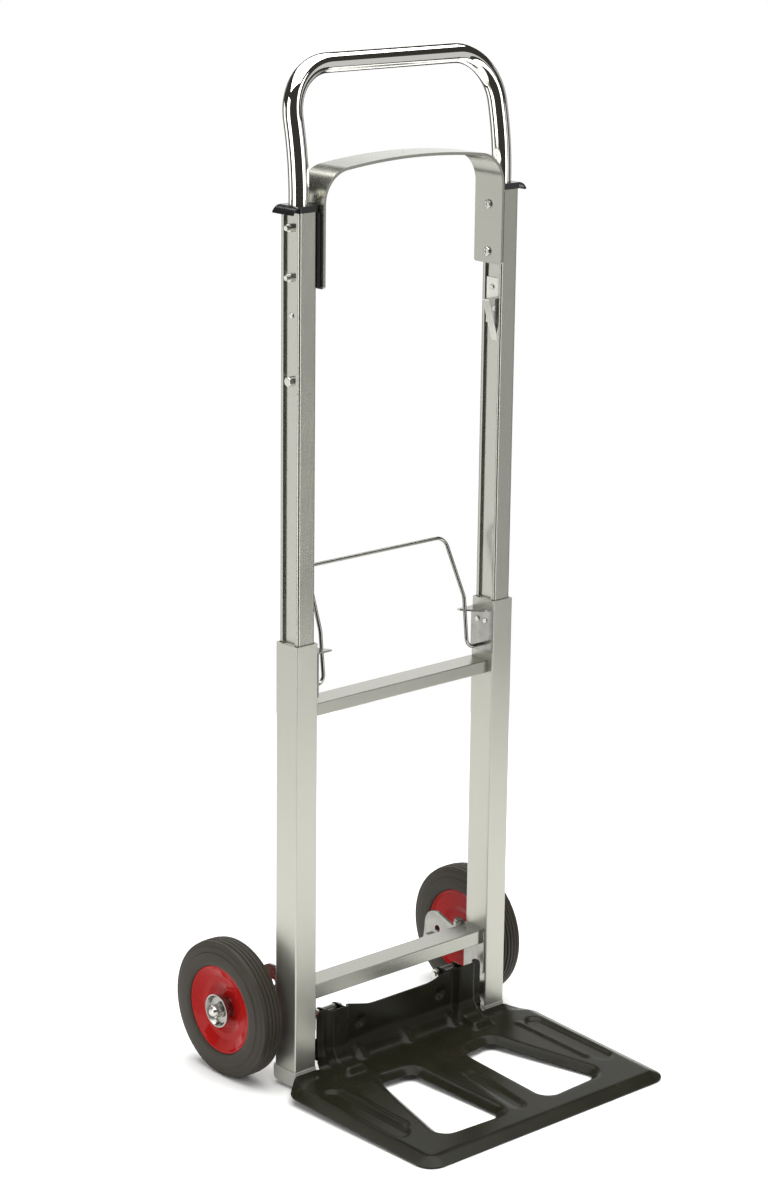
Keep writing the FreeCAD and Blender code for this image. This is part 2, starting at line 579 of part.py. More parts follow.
def bail_wire():
    """Wire bail: hooked ends in the lower tubes, upright legs, a knee and a straight top."""
    tip = INNER_WALL + 2.2
    side = [V(tip, BAIL_Y, BAIL_Z), V(BAIL_LEG_X, BAIL_Y, BAIL_Z), V(BAIL_LEG_X, BAIL_KNEE_Y, BAIL_KNEE_Z),
            V(BAIL_TOP_X, BAIL_TOP_Y, BAIL_TOP_Z)]
    points = side + [V(-p.x, p.y, p.z) for p in reversed(side)]
    radii = [9.0, 16.0, 12.0, 12.0, 16.0, 9.0]
    return swept_rod(rounded_path(points, radii), BAIL_R)


# ---- toe plate ----------------------------------------------------------------------------
def polygon_xy(points, z_range):
    """A prism over (x, y) points."""
    ring = [V(x, y, z_range[0]) for x, y in points]
    ring.append(ring[0])
    return Part.Face(Part.makePolygon(ring)).extrude(V(0, 0, z_range[1] - z_range[0]))


def toe_outline(inset):
    """(x, y) outline of the plate, drawn in by inset, from the front right corner round."""
    half_front, half_rear = TOE_HALF_FRONT - inset, TOE_HALF_REAR - inset
    front, rear = TOE_FRONT_Y + inset, TOE_REAR_Y - inset
    half = [(half_front, front), (half_rear, -38.0), (154.0 - inset, rear), (FLANGE_HALF, rear),
            (FLANGE_HALF, -36.0)]
    return half + [(-x, y) for x, y in reversed(half)]


def cut_out(side, grow):
    """One window of the toe plate in (x, y), grown outwards by grow."""
    corners = [(38.0 - grow, -76.0 + grow), (80.0 + grow, -72.0 + grow),
               (113.0 + grow, -202.0 - grow), (33.0 - grow, -206.0 - grow)]
    return [(side * x, y) for x, y in corners]


def rounded_prism(points, z_range, radius):
    """A prism whose upright edges are rounded."""
    return filleted_edges(polygon_xy(points, z_range), radius, lambda edge: runs_along(edge, Z_AXIS))


def toe_pan():
    """The flat pressed part: a pan with turned-down rims, two windows and stiffening beads."""
    skin = TOE_SHEET
    outer = polygon_xy(toe_outline(0), (-TOE_RIM, 0))
    outer = filleted_edges(outer, 20.0, lambda edge: runs_along(edge, Z_AXIS) and
                           edge.CenterOfMass.y < TOE_FRONT_Y + 1)
    outer = filleted_edges(outer, 9.0, lambda edge: runs_along(edge, Z_AXIS) and
                           edge.CenterOfMass.y > -39 and abs(edge.CenterOfMass.x) > 150)
    outer = filleted_edges(outer, 4.0, lambda edge: edge.BoundBox.ZMin > -0.01 and
                           (edge.BoundBox.YMax < -38.5 or edge.BoundBox.XMax < -119 or
                            edge.BoundBox.XMin > 119))
    inner = polygon_xy(toe_outline(skin), (-TOE_RIM - 1, -skin))
    inner = filleted_edges(inner, 18.0, lambda edge: runs_along(edge, Z_AXIS) and
                           edge.CenterOfMass.y < TOE_FRONT_Y + 4)
    pan = outer.cut(inner)
    for side in (-1, 1):
        collar = rounded_prism(cut_out(side, skin), (-TOE_RIM + 1.5, -0.5), 12.0)
        pan = joined([pan, collar])
        pan = pan.cut(rounded_prism(cut_out(side, 0), (-TOE_RIM - 1, 1), 10.0))
    beads = []
    for side in (-1, 1):
        start, end = V(side * 134.0, -56.0, 0), V(side * 139.5, -180.0, 0)
        beads.append(Part.makeCylinder(7.0, end.sub(start).Length, start + V(0, 0, -4.8), end.sub(start)))
        beads[-1] = joined([beads[-1], Part.makeSphere(7.0, start + V(0, 0, -4.8)),
                            Part.makeSphere(7.0, end + V(0, 0, -4.8))])
    for bead in beads:
        above = bead.cut(box((-300, 300), (-300, 0), (-40, -1.0)))
        pan = joined([pan, above])
    return pan


def toe_flange():
    """Upright flange between the tubes, its bend, its two ears and its side lugs."""
    top_y = FLANGE_FRONT_Y
    bend_y, bend_z = top_y - BEND_R, TOE_TOP_Z + math.tan(math.radians(TOE_SLOPE)) * (top_y - BEND_R) + BEND_R
    outer_r = BEND_R + TOE_SHEET
    ring = rod_x(outer_r, (-FLANGE_HALF, FLANGE_HALF), bend_y, bend_z)
    ring = ring.cut(rod_x(BEND_R, (-FLANGE_HALF - 1, FLANGE_HALF + 1), bend_y, bend_z))
    quarter = box((-FLANGE_HALF, FLANGE_HALF), (bend_y - 0.5, top_y + 5), (bend_z - outer_r, bend_z))
    bend = ring.common(quarter)
    low = bend_z - 0.5
    profile = [(FLANGE_HALF, low), (FLANGE_HALF, FLANGE_EAR_Z), (EAR_HEAD_X, FLANGE_EAR_Z),
               (EAR_FOOT_X, FLANGE_MID_Z)]
    profile += [(-x, z) for x, z in reversed(profile)]
    ring = [V(x, top_y, z) for x, z in profile]
    ring.append(ring[0])
    wall = Part.Face(Part.makePolygon(ring)).extrude(V(0, TOE_SHEET, 0))
    wall = filleted_edges(wall, 8.0, lambda edge: runs_along(edge, Y_AXIS) and edge.CenterOfMass.z > low + 5)
    shapes = [bend, wall]
    for side in (-1, 1):
        lug_x = tuple(side * x for x in LUG_X)
        lug = box(lug_x, (top_y + 0.5, TOE_PIVOT_Y), (TOE_PIVOT_Z - 9.0, TOE_PIVOT_Z + 16.0))
        shapes.append(lug)
        shapes.append(rod_x(9.0, lug_x, TOE_PIVOT_Y, TOE_PIVOT_Z))
        for lug_in in (SPACER_X[0] - TOE_SHEET, SPACER_X[1]):
            ear_x = (side * lug_in, side * (lug_in + TOE_SHEET))
            shapes.append(box(ear_x, (top_y + 1.0, CAM_Y), (CAM_Z - 6.5, CAM_Z + 6.5)))
            shapes.append(rod_x(6.5, ear_x, CAM_Y, CAM_Z))
    flange = joined(shapes)
    holes = [rod_x(TOE_PIN_R + FIT, (side * 100, side * 119), TOE_PIVOT_Y, TOE_PIVOT_Z) for side in (-1, 1)]
    holes += [rod_x(CAM_BOLT_R + FIT, (side * 65, side * 105), CAM_Y, CAM_Z) for side in (-1, 1)]
    holes += [Part.makeCylinder(6.0, 20, V(side * 58.0, top_y - 5, 53.0), Y_AXIS) for side in (-1, 1)]
    return drilled(flange, holes)


def toe_plate():
    """The whole toe plate: the sloped pan and the upright flange as one pressing."""
    pan = toe_pan()
    pan.rotate(V(0, 0, 0), X_AXIS, TOE_SLOPE)
    pan.translate(V(0, 0, TOE_TOP_Z))
    return joined([pan, toe_flange()])


def cam_spacer():
    """Zinc tube clamped between the two small ears behind the flange."""
    tube = rod_x(5.5, SPACER_X, CAM_Y, CAM_Z)
    return tube.cut(rod_x(CAM_BOLT_R + FIT, (SPACER_X[0] - 1, SPACER_X[1] + 1), CAM_Y, CAM_Z))


def cam_bolt():
    """Hexagon-head bolt through the ears and the spacer."""
    low = SPACER_X[0] - TOE_SHEET
    high = SPACER_X[1] + TOE_SHEET
    return joined([rod_x(CAM_BOLT_R, (low - 6.5, high), CAM_Y, CAM_Z),
                   hex_x(10.0, (high, high + 4.0), CAM_Y, CAM_Z)])


def cam_nut():
    """Nut on the bolt's inner end."""
    low = SPACER_X[0] - TOE_SHEET
    nut = hex_x(10.0, (low - 5.0, low), CAM_Y, CAM_Z)
    return nut.cut(rod_x(CAM_BOLT_R + FIT, (low - 6, low + 1), CAM_Y, CAM_Z))


# ---- wheels -------------------------------------------------------------------------------
def wheel_bracket():
    """Upright teardrop plate on a hinge knuckle, with the axle boss."""
    high, low, root = (60.0, 94.0, 17.5), (WHEEL_Y, WHEEL_R, 12.5), (38.0, 95.0, 9.0)
    plate = joined([capsule_x(high, low, BRACKET_X), capsule_x(high, root, BRACKET_X),
                    capsule_x(low, root, BRACKET_X)])
    neck = box(BRACKET_X, (HINGE_Y, 38.0), KNUCKLE_MID)
    knuckle = rod_z(HINGE_R, HINGE_X, HINGE_Y, KNUCKLE_MID)
    boss = rod_x(8.5, (BRACKET_X[0], BOSS_END), WHEEL_Y, WHEEL_R)
    rib = box((BRACKET_X[0], 142.0), (WHEEL_Y - 1.5, WHEEL_Y + 1.5), (WHEEL_R, 98.0))
    rib = rib.cut(Part.makeCylinder(24.0, 4, V(BRACKET_X[1] + 24.0, WHEEL_Y - 2, 107.0), Y_AXIS))
    bracket = joined([plate, neck, knuckle, boss, rib])
    return drilled(bracket, [rod_z(HINGE_PIN_R + FIT, HINGE_X, HINGE_Y, (80, 120)),
                             rod_x(AXLE_R + FIT, (100, 160), WHEEL_Y, WHEEL_R),
                             rod_x(4.0, (100, BRACKET_X[1] + 1), 57.0, 92.0)])


def axle_bolt():
    """Bolt from the bracket's inner face out through the wheel."""
    head_x = BRACKET_X[0]
    return joined([rod_x(AXLE_R, (head_x, AXLE_END), WHEEL_Y, WHEEL_R),
                   hex_x(16.0, (head_x - 5.5, head_x), WHEEL_Y, WHEEL_R)])


def axle_washer():
    """Washer between the hub's outer end and the domed nut."""
    disc = rod_x(8.0, (HUB_END - 5.6, HUB_END - 4.2), WHEEL_Y, WHEEL_R)
    return disc.cut(rod_x(AXLE_R + FIT, (HUB_END - 7, HUB_END), WHEEL_Y, WHEEL_R))


def axle_nut():
    """Domed nut on the axle's outer end."""
    start = HUB_END - 4.2
    body = hex_x(12.5, (start, start + 7.0), WHEEL_Y, WHEEL_R)
    dome = Part.makeSphere(5.9, V(start + 6.0, WHEEL_Y, WHEEL_R))
    dome = dome.cut(box((start - 10, start + 5.9), (0, 200), (0, 200)))
    nut = joined([body, dome])
    return nut.cut(rod_x(AXLE_R + FIT, (start - 1, AXLE_END), WHEEL_Y, WHEEL_R))


def hub_sleeve():
    """Zinc sleeve that carries both discs and turns on the axle, cupped at its outer end."""
    inner_end = TYRE_IN - 0.8
    bore = AXLE_R + FIT
    cup = HUB_END - 6.0
    profile = [(inner_end, bore), (inner_end, 10.0), (TYRE_IN + 5.0, 10.0), (TYRE_IN + 5.0, 11.5),
               (cup - 5.0, 11.5), (cup - 1.5, 14.5), (HUB_END - 0.7, 16.5), (HUB_END, 16.3), (HUB_END, 14.9),
               (cup + 0.2, 12.5), (cup, 10.5), (cup, bore)]
    return turned(profile, WHEEL_Y, WHEEL_R)


def hub_disc(outer_side):
    """Pressed disc, dished between the hub and the rim."""
    sheet = 1.6
    if outer_side:
        seat, edge, sign = HUB_END - 13.5, TYRE_OUT - 2.0, -1
    else:
        seat, edge, sign = TYRE_IN + 8.0, TYRE_IN + 5.0, 1
    hub_r = 11.6
    face = [(seat, hub_r), (seat, 26.0), (seat - sign * 1.0, 32.0), (edge + sign * 3.0, 41.0),
            (edge + sign * 0.6, 45.0), (edge, RIM_R)]
    back = [(edge + sign * 10.0, RIM_R), (edge + sign * 10.0, RIM_R - sheet),
            (edge + sign * 2.4, RIM_R - sheet), (edge + sign * 4.6, 41.0 - 0.3),
            (seat - sign * 1.0 + sign * sheet, 32.0), (seat + sign * sheet, 26.0),
            (seat + sign * sheet, hub_r)]
    return turned(face + back, WHEEL_Y, WHEEL_R)


def tyre():
    """Solid rubber tyre with rounded shoulders and ribs round its tread."""
    middle = (TYRE_OUT + TYRE_IN) / 2
    half = (TYRE_OUT - TYRE_IN) / 2
    bore = RIM_R + 0.05
    profile = [(middle - half, bore + 3.0), (middle - half + 1.5, bore), (middle + half - 1.5, bore),
               (middle + half, bore + 3.0), (middle + half, WHEEL_R - 12.0),
               (middle + half - 1.2, WHEEL_R - 6.5), (middle + half - 3.6, WHEEL_R - 2.2)]
    groove_w, groove_d, pitch = 1.3, 1.6, 5.0
    for step in (2, 1, 0, -1, -2):
        x = middle + step * pitch
        crown = WHEEL_R - 0.35 * (step / 2) ** 2
        profile += [(x + pitch / 2 - groove_w / 2 - 0.4, crown), (x - pitch / 2 + groove_w / 2 + 0.4, crown),
                    (x - pitch / 2 + groove_w / 2, crown - groove_d),
                    (x - pitch / 2 - groove_w / 2, crown - groove_d)] if step > -2 else \
                   [(x + pitch / 2 - groove_w / 2 - 0.4, crown), (x - pitch / 2, crown - 0.4)]
    profile += [(middle - half + 1.2, WHEEL_R - 6.5), (middle - half, WHEEL_R - 12.0)]
    return turned(profile, WHEEL_Y, WHEEL_R)


# ---- write every node ---------------------------------------------------------------------
def both(shape):
    """The right-hand solid and its mirror image."""
    return [shape, mirrored(shape)]


def write_frame():
    """The lower frame, which everything else hangs on."""
    write_pair("lower_tube", lower_tube())
    write("cross_bar_upper", cross_bar(UPPER_BAR_Z, INNER_FACE))
    write("cross_bar_lower", cross_bar(LOWER_BAR_Z, INNER_FACE - PLATE_T))
    screws = [bar_screw(y, sum(z_range) / 2) for z_range in (UPPER_BAR_Z, LOWER_BAR_Z) for y in PORT_Y]
    write("cross_bar_screws", [solid for screw in screws for solid in both(screw)])
    write_pair("foot_plug", foot_plug())
    write("guide_pads_right", guide_pads())
    write("guide_pads_left", [mirrored(pad) for pad in guide_pads()])
    write("bail_bracket_right", bail_bracket(1, 100.0))
    write("bail_bracket_left", mirrored(bail_bracket(-1, 103.8)))
    plates = (BAIL_PLATE_T, BAIL_PLATE_T, PLATE_T)
    rivets = [rivet_x(INNER_WALL, INNER_FACE - plate_t, y, z)
              for (y, z), plate_t in zip(wall_rivets(), plates)]
    write("plate_rivets", [solid for rivet in rivets for solid in both(rivet)])
    write_pair("wheel_hinge_plate", hinge_plate())
    write_pair("wheel_hinge_pin", hinge_pin())
    write("toe_pivot_pins", both(toe_pivot_pin()))
    write("toe_pivot_bushes", both(toe_pivot_bush()))


def write_upper_section():
    """Everything that slides down into the lower tubes, and the bail."""
    write_pair("mid_tube", mid_tube())
    write_pair("glide_shoe", glide_shoe())
    write_pair("top_cap", top_cap())
    write("handle", handle())
    write("grab_strap", grab_strap())
    write_pair("strap_spacer", strap_spacer())
    write("strap_screws", [solid for z in STRAP_BOLT_Z for solid in both(strap_screw(z))])
    write("strap_nuts", [solid for z in STRAP_BOLT_Z for solid in both(strap_nut(z))])
    write("stop_catch_right", stop_catch(True))
    write("stop_catch_left", mirrored(stop_catch(False)))
    write("catch_rivets", both(catch_rivet()))
    write("travel_stops", both(travel_stop()))
    write("bail_wire", bail_wire())


def write_toe_plate():
    """The folding toe plate and the bolted spacers on its back."""
    write("toe_plate", toe_plate())
    write("cam_spacers", both(cam_spacer()))
    write("cam_bolts", both(cam_bolt()))
    write("cam_nuts", both(cam_nut()))


def write_wheels():
    """Both wheels and their fold-in brackets."""
    write_pair("wheel_bracket", wheel_bracket())
    write_pair("axle_bolt", axle_bolt())
    write_pair("axle_washer", axle_washer())
    write_pair("axle_nut", axle_nut())
    write_pair("hub_sleeve", hub_sleeve())
    write_pair("hub_disc_outer", hub_disc(True))
    write_pair("hub_disc_inner", hub_disc(False))
    write_pair("tyre", tyre())


write_frame()
write_upper_section()
write_toe_plate()
write_wheels()
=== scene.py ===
"""Looks of a folding aluminium hand truck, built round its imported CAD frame.

The frame is in metres: +Z up, -Y to the load side, floor at Z = 0. The sub-assemblies here hold
their sizes in millimetres, with Y = 0 on the uprights, and Form brings them into the frame.
"""
import json
import logging
import math
from dataclasses import dataclass, field
from enum import Enum

import bmesh
import bpy
import numpy as np
from mathutils import Matrix, Vector

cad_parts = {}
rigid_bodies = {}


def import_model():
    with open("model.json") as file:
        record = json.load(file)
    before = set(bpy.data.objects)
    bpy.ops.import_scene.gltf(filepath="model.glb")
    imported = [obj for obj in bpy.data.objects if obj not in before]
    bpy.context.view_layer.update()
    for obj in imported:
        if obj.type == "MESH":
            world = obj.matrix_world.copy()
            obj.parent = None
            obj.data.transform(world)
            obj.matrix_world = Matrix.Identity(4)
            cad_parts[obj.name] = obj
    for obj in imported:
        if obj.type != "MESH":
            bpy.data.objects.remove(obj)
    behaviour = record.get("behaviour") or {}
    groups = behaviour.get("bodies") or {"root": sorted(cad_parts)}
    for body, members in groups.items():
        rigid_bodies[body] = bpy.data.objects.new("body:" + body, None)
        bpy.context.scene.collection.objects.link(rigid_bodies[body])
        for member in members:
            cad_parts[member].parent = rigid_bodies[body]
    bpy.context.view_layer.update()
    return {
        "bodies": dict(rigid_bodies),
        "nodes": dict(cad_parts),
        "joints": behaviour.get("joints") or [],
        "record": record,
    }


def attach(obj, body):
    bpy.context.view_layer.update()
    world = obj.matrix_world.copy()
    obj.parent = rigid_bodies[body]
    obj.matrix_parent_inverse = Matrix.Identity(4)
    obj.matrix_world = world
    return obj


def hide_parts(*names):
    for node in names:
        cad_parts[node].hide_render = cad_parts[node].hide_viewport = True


LOG = logging.getLogger("hand_truck")
MM = 0.001
ORIGIN_Y = 53.8 * MM

Colour = tuple[float, float, float]
Corner = tuple[float, float, float]
Profile = list[tuple[float, float]]
Relief = tuple[float, float]


def scaled(colour: Colour, factor: float) -> Colour:
    """The colour with every part multiplied by factor."""
    return tuple(part * factor for part in colour)


# ---- shader expressions -------------------------------------------------------------------
class Wire:
    """A node socket that can be used in Python arithmetic."""

    def __init__(self, tree: bpy.types.NodeTree, socket: bpy.types.NodeSocket) -> None:
        """Keep the socket and the tree it belongs to."""
        self.tree = tree
        self.socket = socket

    def _math(self, operation: str, *values: object) -> "Wire":
        """Add one Math node.

        Args:
            operation: the node's operation.
            values: its inputs in order, each a number or a Wire.

        Returns:
            The node's result.
        """
        node = self.tree.nodes.new("ShaderNodeMath")
        node.operation = operation
        for slot, value in zip(node.inputs, values):
            if isinstance(value, Wire):
                self.tree.links.new(value.socket, slot)
            else:
                slot.default_value = float(value)
        return Wire(self.tree, node.outputs[0])

    def __add__(self, other: object) -> "Wire":
        """self + other."""
        return self._math("ADD", self, other)

    def __radd__(self, other: object) -> "Wire":
        """other + self."""
        return self._math("ADD", other, self)

    def __sub__(self, other: object) -> "Wire":
        """self - other."""
        return self._math("SUBTRACT", self, other)

    def __rsub__(self, other: object) -> "Wire":
        """other - self."""
        return self._math("SUBTRACT", other, self)

    def __mul__(self, other: object) -> "Wire":
        """self * other."""
        return self._math("MULTIPLY", self, other)

    def __rmul__(self, other: object) -> "Wire":
        """other * self."""
        return self._math("MULTIPLY", other, self)

    def __pow__(self, other: object) -> "Wire":
        """self ** other."""
        return self._math("POWER", self, other)

    def __rpow__(self, other: object) -> "Wire":
        """other ** self."""
        return self._math("POWER", other, self)


class Board:
    """A node tree with one short way to add nodes to it."""

    def __init__(self, tree: bpy.types.NodeTree) -> None:
        """Keep the tree."""
        self.tree = tree

    def node(self, kind: str, settings: dict[str, object] | None = None,
             inputs: dict[int | str, object] | None = None, output: int | str = 0) -> Wire:
        """Add any node.

        Args:
            kind: the node's type name, without the leading ShaderNode.
            settings: its own settings, which are set first.
            inputs: the value or Wire of each named or numbered socket.
            output: the output socket wanted.

        Returns:
            That output.
        """
        made = self.tree.nodes.new("ShaderNode" + kind)
        for key, value in (settings or {}).items():
            setattr(made, key, value)
        for key, value in (inputs or {}).items():
            if isinstance(value, Wire):
                self.tree.links.new(value.socket, made.inputs[key])
            else:
                made.inputs[key].default_value = value
        return Wire(self.tree, made.outputs[output])

    def mixed(self, share: Wire, first: Colour, second: Colour) -> Wire:
        """Mix two colours: the first where share is 0, the second where it is 1."""
        inputs = {0: share, 6: (*first, 1.0), 7: (*second, 1.0)}
        return self.node("Mix", {"data_type": "RGBA"}, inputs, output=2)


class Sheet(Board):
    """The node tree of one material, drawn round a Principled shader."""

    def __init__(self, name: str) -> None:
        """Make an empty material.

        Args:
            name: the material's name.
        """
        self.material = bpy.data.materials.new(name)
        self.material.use_nodes = True
        super().__init__(self.material.node_tree)
        self.tree.nodes.clear()
        self.shader = self.tree.nodes.new("ShaderNodeBsdfPrincipled")
        output = self.tree.nodes.new("ShaderNodeOutputMaterial")
        self.tree.links.new(self.shader.outputs["BSDF"], output.inputs["Surface"])

    def noise(self, scale: float, detail: float = 3.0, stretch: Corner = (1.0, 1.0, 1.0),
              roughness: float = 0.5) -> Wire:
        """Fractal noise over the object's own coordinates.

        Args:
            scale: how many features there are in a metre.
            detail: how many octaves are added.
            stretch: a factor on each axis; a small one draws the noise out into lines.
            roughness: how strong the finer octaves are.

        Returns:
            The noise, from 0 to 1.
        """
        where = self.node("TexCoord", output="Object")
        place = self.node("Mapping", inputs={"Vector": where, "Scale": stretch})
        return self.node("TexNoise", inputs={"Vector": place, "Scale": scale, "Detail": detail,
                                             "Roughness": roughness})

    def bump(self, height: Wire, relief: Relief) -> None:
        """Feed a height to the shader's normal.

        Args:
            height: the height, from 0 to 1.
            relief: how much of the bump is used, and what a height of 1 stands for in metres.
        """
        strength, distance = relief
        inputs = {"Strength": strength, "Distance": distance, "Height": height}
        normal = self.node("Bump", inputs=inputs)
        self.tree.links.new(normal.socket, self.shader.inputs["Normal"])

    def set(self, **sockets: object) -> None:
        """Set the shader's sockets.

        Args:
            sockets: a number, colour or Wire for each name, with underscores for its spaces.
        """
        for key, value in sockets.items():
            socket = self.shader.inputs[key.replace("_", " ")]
            if isinstance(value, Wire):
                self.tree.links.new(value.socket, socket)
            else:
                socket.default_value = (*value, 1.0) if isinstance(value, tuple) else value


# ---- finishes -----------------------------------------------------------------------------
class Grain(Enum):
    """The direction in which a piece was drawn, as stretches of its noise."""

    ALONG_X = (0.03, 1.0, 1.0)
    ALONG_Z = (1.0, 1.0, 0.03)


@dataclass(frozen=True)
class SatinAluminium:
    """Satin anodised extrusion with a faint draw grain."""

    name: str
    grain: Grain
    tone: float
    roughness: float = 0.24
    tint: Colour = (1.0, 1.0, 0.89)
    shade: float = 0.87
    line_scale: float = 900.0
    cloud_scale: float = 14.0
    line_spread: float = 0.16
    cloud_spread: float = 0.08
    metallic: float = 0.92
    relief: Relief = (0.12, 0.04 * MM)

    def make(self) -> bpy.types.Material:
        """Build the material.

        Returns:
            The material.
        """
        sheet = Sheet(self.name)
        lines = sheet.noise(self.line_scale, 4.0, self.grain.value, 0.7)
        clouds = sheet.noise(self.cloud_scale)
        light = scaled(self.tint, self.tone)
        dark = scaled(self.tint, self.tone * self.shade)
        colour = sheet.mixed(lines * 0.5 + clouds * 0.5, dark, light)
        streaks = (lines - 0.5) * self.line_spread
        rough = self.roughness + streaks + (clouds - 0.5) * self.cloud_spread
        sheet.set(Base_Color=colour, Metallic=self.metallic, Roughness=rough)
        sheet.bump(lines, self.relief)
        return sheet.material


@dataclass(frozen=True)
class Chrome:
    """Polished plating or drawn bright wire."""

    name: str = "chrome"
    colour: Colour = (0.84, 0.835, 0.80)
    roughness: float = 0.02
    haze_scale: float = 60.0
    haze_spread: float = 0.04

    def make(self) -> bpy.types.Material:
        """Build the material.

        Returns:
            The material.
        """
        sheet = Sheet(self.name)
        rough = self.roughness + sheet.noise(self.haze_scale) * self.haze_spread
        sheet.set(Base_Color=self.colour, Metallic=1.0, Roughness=rough)
        return sheet.material


@dataclass(frozen=True)
class Zinc:
    """Zinc plating on pressed and turned steel, pale and dull in patches."""

    name: str = "zinc_plate"
    pale: Colour = (0.46, 0.46, 0.43)
    dull: Colour = (0.17, 0.17, 0.15)
    spangle_scale: float = 320.0
    stain_scale: float = 70.0
    roughness: float = 0.12
    spangle_spread: float = 0.20
    metallic: float = 0.9
    relief: Relief = (0.10, 0.06 * MM)

    def make(self) -> bpy.types.Material:
        """Build the material.

        Returns:
            The material.
        """
        sheet = Sheet(self.name)
        spangle = sheet.noise(self.spangle_scale, 4.0)
        colour = sheet.mixed(sheet.noise(self.stain_scale, 4.0), self.dull, self.pale)
        rough = self.roughness + spangle * self.spangle_spread
        sheet.set(Base_Color=colour, Metallic=self.metallic, Roughness=rough)
        sheet.bump(spangle, self.relief)
        return sheet.material


@dataclass(frozen=True)
class BakedEnamel:
    """Semi-gloss baked enamel with orange peel and rubbed smears."""

    name: str = "black_steel"
    body: Colour = (0.009, 0.009, 0.005)
    worn: Colour = (0.024, 0.022, 0.013)
    roughness: float = 0.25
    smear_spread: float = 0.2
    peel_scale: float = 420.0
    smear_scale: float = 22.0
    gloss: float = 0.10
    relief: Relief = (0.22, 0.1 * MM)

    def make(self) -> bpy.types.Material:
        """Build the material.

        Returns:
            The material.
        """
        sheet = Sheet(self.name)
        smears = sheet.noise(self.smear_scale, 5.0, roughness=0.65)
        colour = sheet.mixed(smears ** 2.0, self.body, self.worn)
        rough = self.roughness + (smears - 0.5) * self.smear_spread
        sheet.set(Base_Color=colour, Roughness=rough, Specular_IOR_Level=self.gloss)
        sheet.bump(sheet.noise(self.peel_scale, 2.0), self.relief)
        return sheet.material


@dataclass(frozen=True)
class GlossEnamel:
    """Glossy coloured enamel on the wheel discs."""

    name: str = "red_paint"
    body: Colour = (0.36, 0.011, 0.009)
    deep: Colour = (0.27, 0.006, 0.006)
    roughness: float = 0.06
    dust_spread: float = 0.07
    peel_scale: float = 260.0
    dust_scale: float = 35.0
    gloss: float = 0.10
    relief: Relief = (0.12, 0.08 * MM)

    def make(self) -> bpy.types.Material:
        """Build the material.

        Returns:
            The material.
        """
        sheet = Sheet(self.name)
        dust = sheet.noise(self.dust_scale, 4.0)
        colour = sheet.mixed(dust, self.deep, self.body)
        rough = self.roughness + dust * self.dust_spread
        sheet.set(Base_Color=colour, Roughness=rough, Specular_IOR_Level=self.gloss)
        sheet.bump(sheet.noise(self.peel_scale, 2.0), self.relief)
        return sheet.material


@dataclass(frozen=True)
class TyreRubber:
    """Warm grey-brown solid rubber with a dusty bloom."""

    name: str = "tyre_rubber"
    body: Colour = (0.018, 0.0145, 0.0095)
    bloom: Colour = (0.034, 0.028, 0.0185)
    roughness: float = 0.46
    grit_spread: float = 0.18
    grit_scale: float = 700.0
    cloud_scale: float = 28.0
    gloss: float = 0.28
    relief: Relief = (0.18, 0.1 * MM)

    def make(self) -> bpy.types.Material:
        """Build the material.

        Returns:
            The material.
        """
        sheet = Sheet(self.name)
        grit = sheet.noise(self.grit_scale, 4.0)
        cloud = sheet.noise(self.cloud_scale, 5.0, roughness=0.6)
        colour = sheet.mixed(cloud * 0.8 + grit * 0.2, self.body, self.bloom)
        rough = self.roughness + grit * self.grit_spread
        sheet.set(Base_Color=colour, Roughness=rough, Specular_IOR_Level=self.gloss)
        sheet.bump(grit, self.relief)
        return sheet.material


@dataclass(frozen=True)
class MouldedPlastic:
    """Injection-moulded plastic, glossy or matt."""

    name: str = "black_plastic"
    body: Colour = (0.008, 0.008, 0.009)
    roughness: float = 0.12
    texture_spread: float = 0.12
    texture_scale: float = 380.0
    cloud_scale: float = 40.0
    relief: Relief = (0.15, 0.08 * MM)

    def make(self) -> bpy.types.Material:
        """Build the material.

        Returns:
            The material.
        """
        sheet = Sheet(self.name)
        texture = sheet.noise(self.texture_scale)
        paler = tuple(part * 1.25 + 0.004 for part in self.body)
        colour = sheet.mixed(sheet.noise(self.cloud_scale), self.body, paler)
        sheet.set(Base_Color=colour, Roughness=self.roughness + texture * self.texture_spread)
        sheet.bump(texture, self.relief)
        return sheet.material


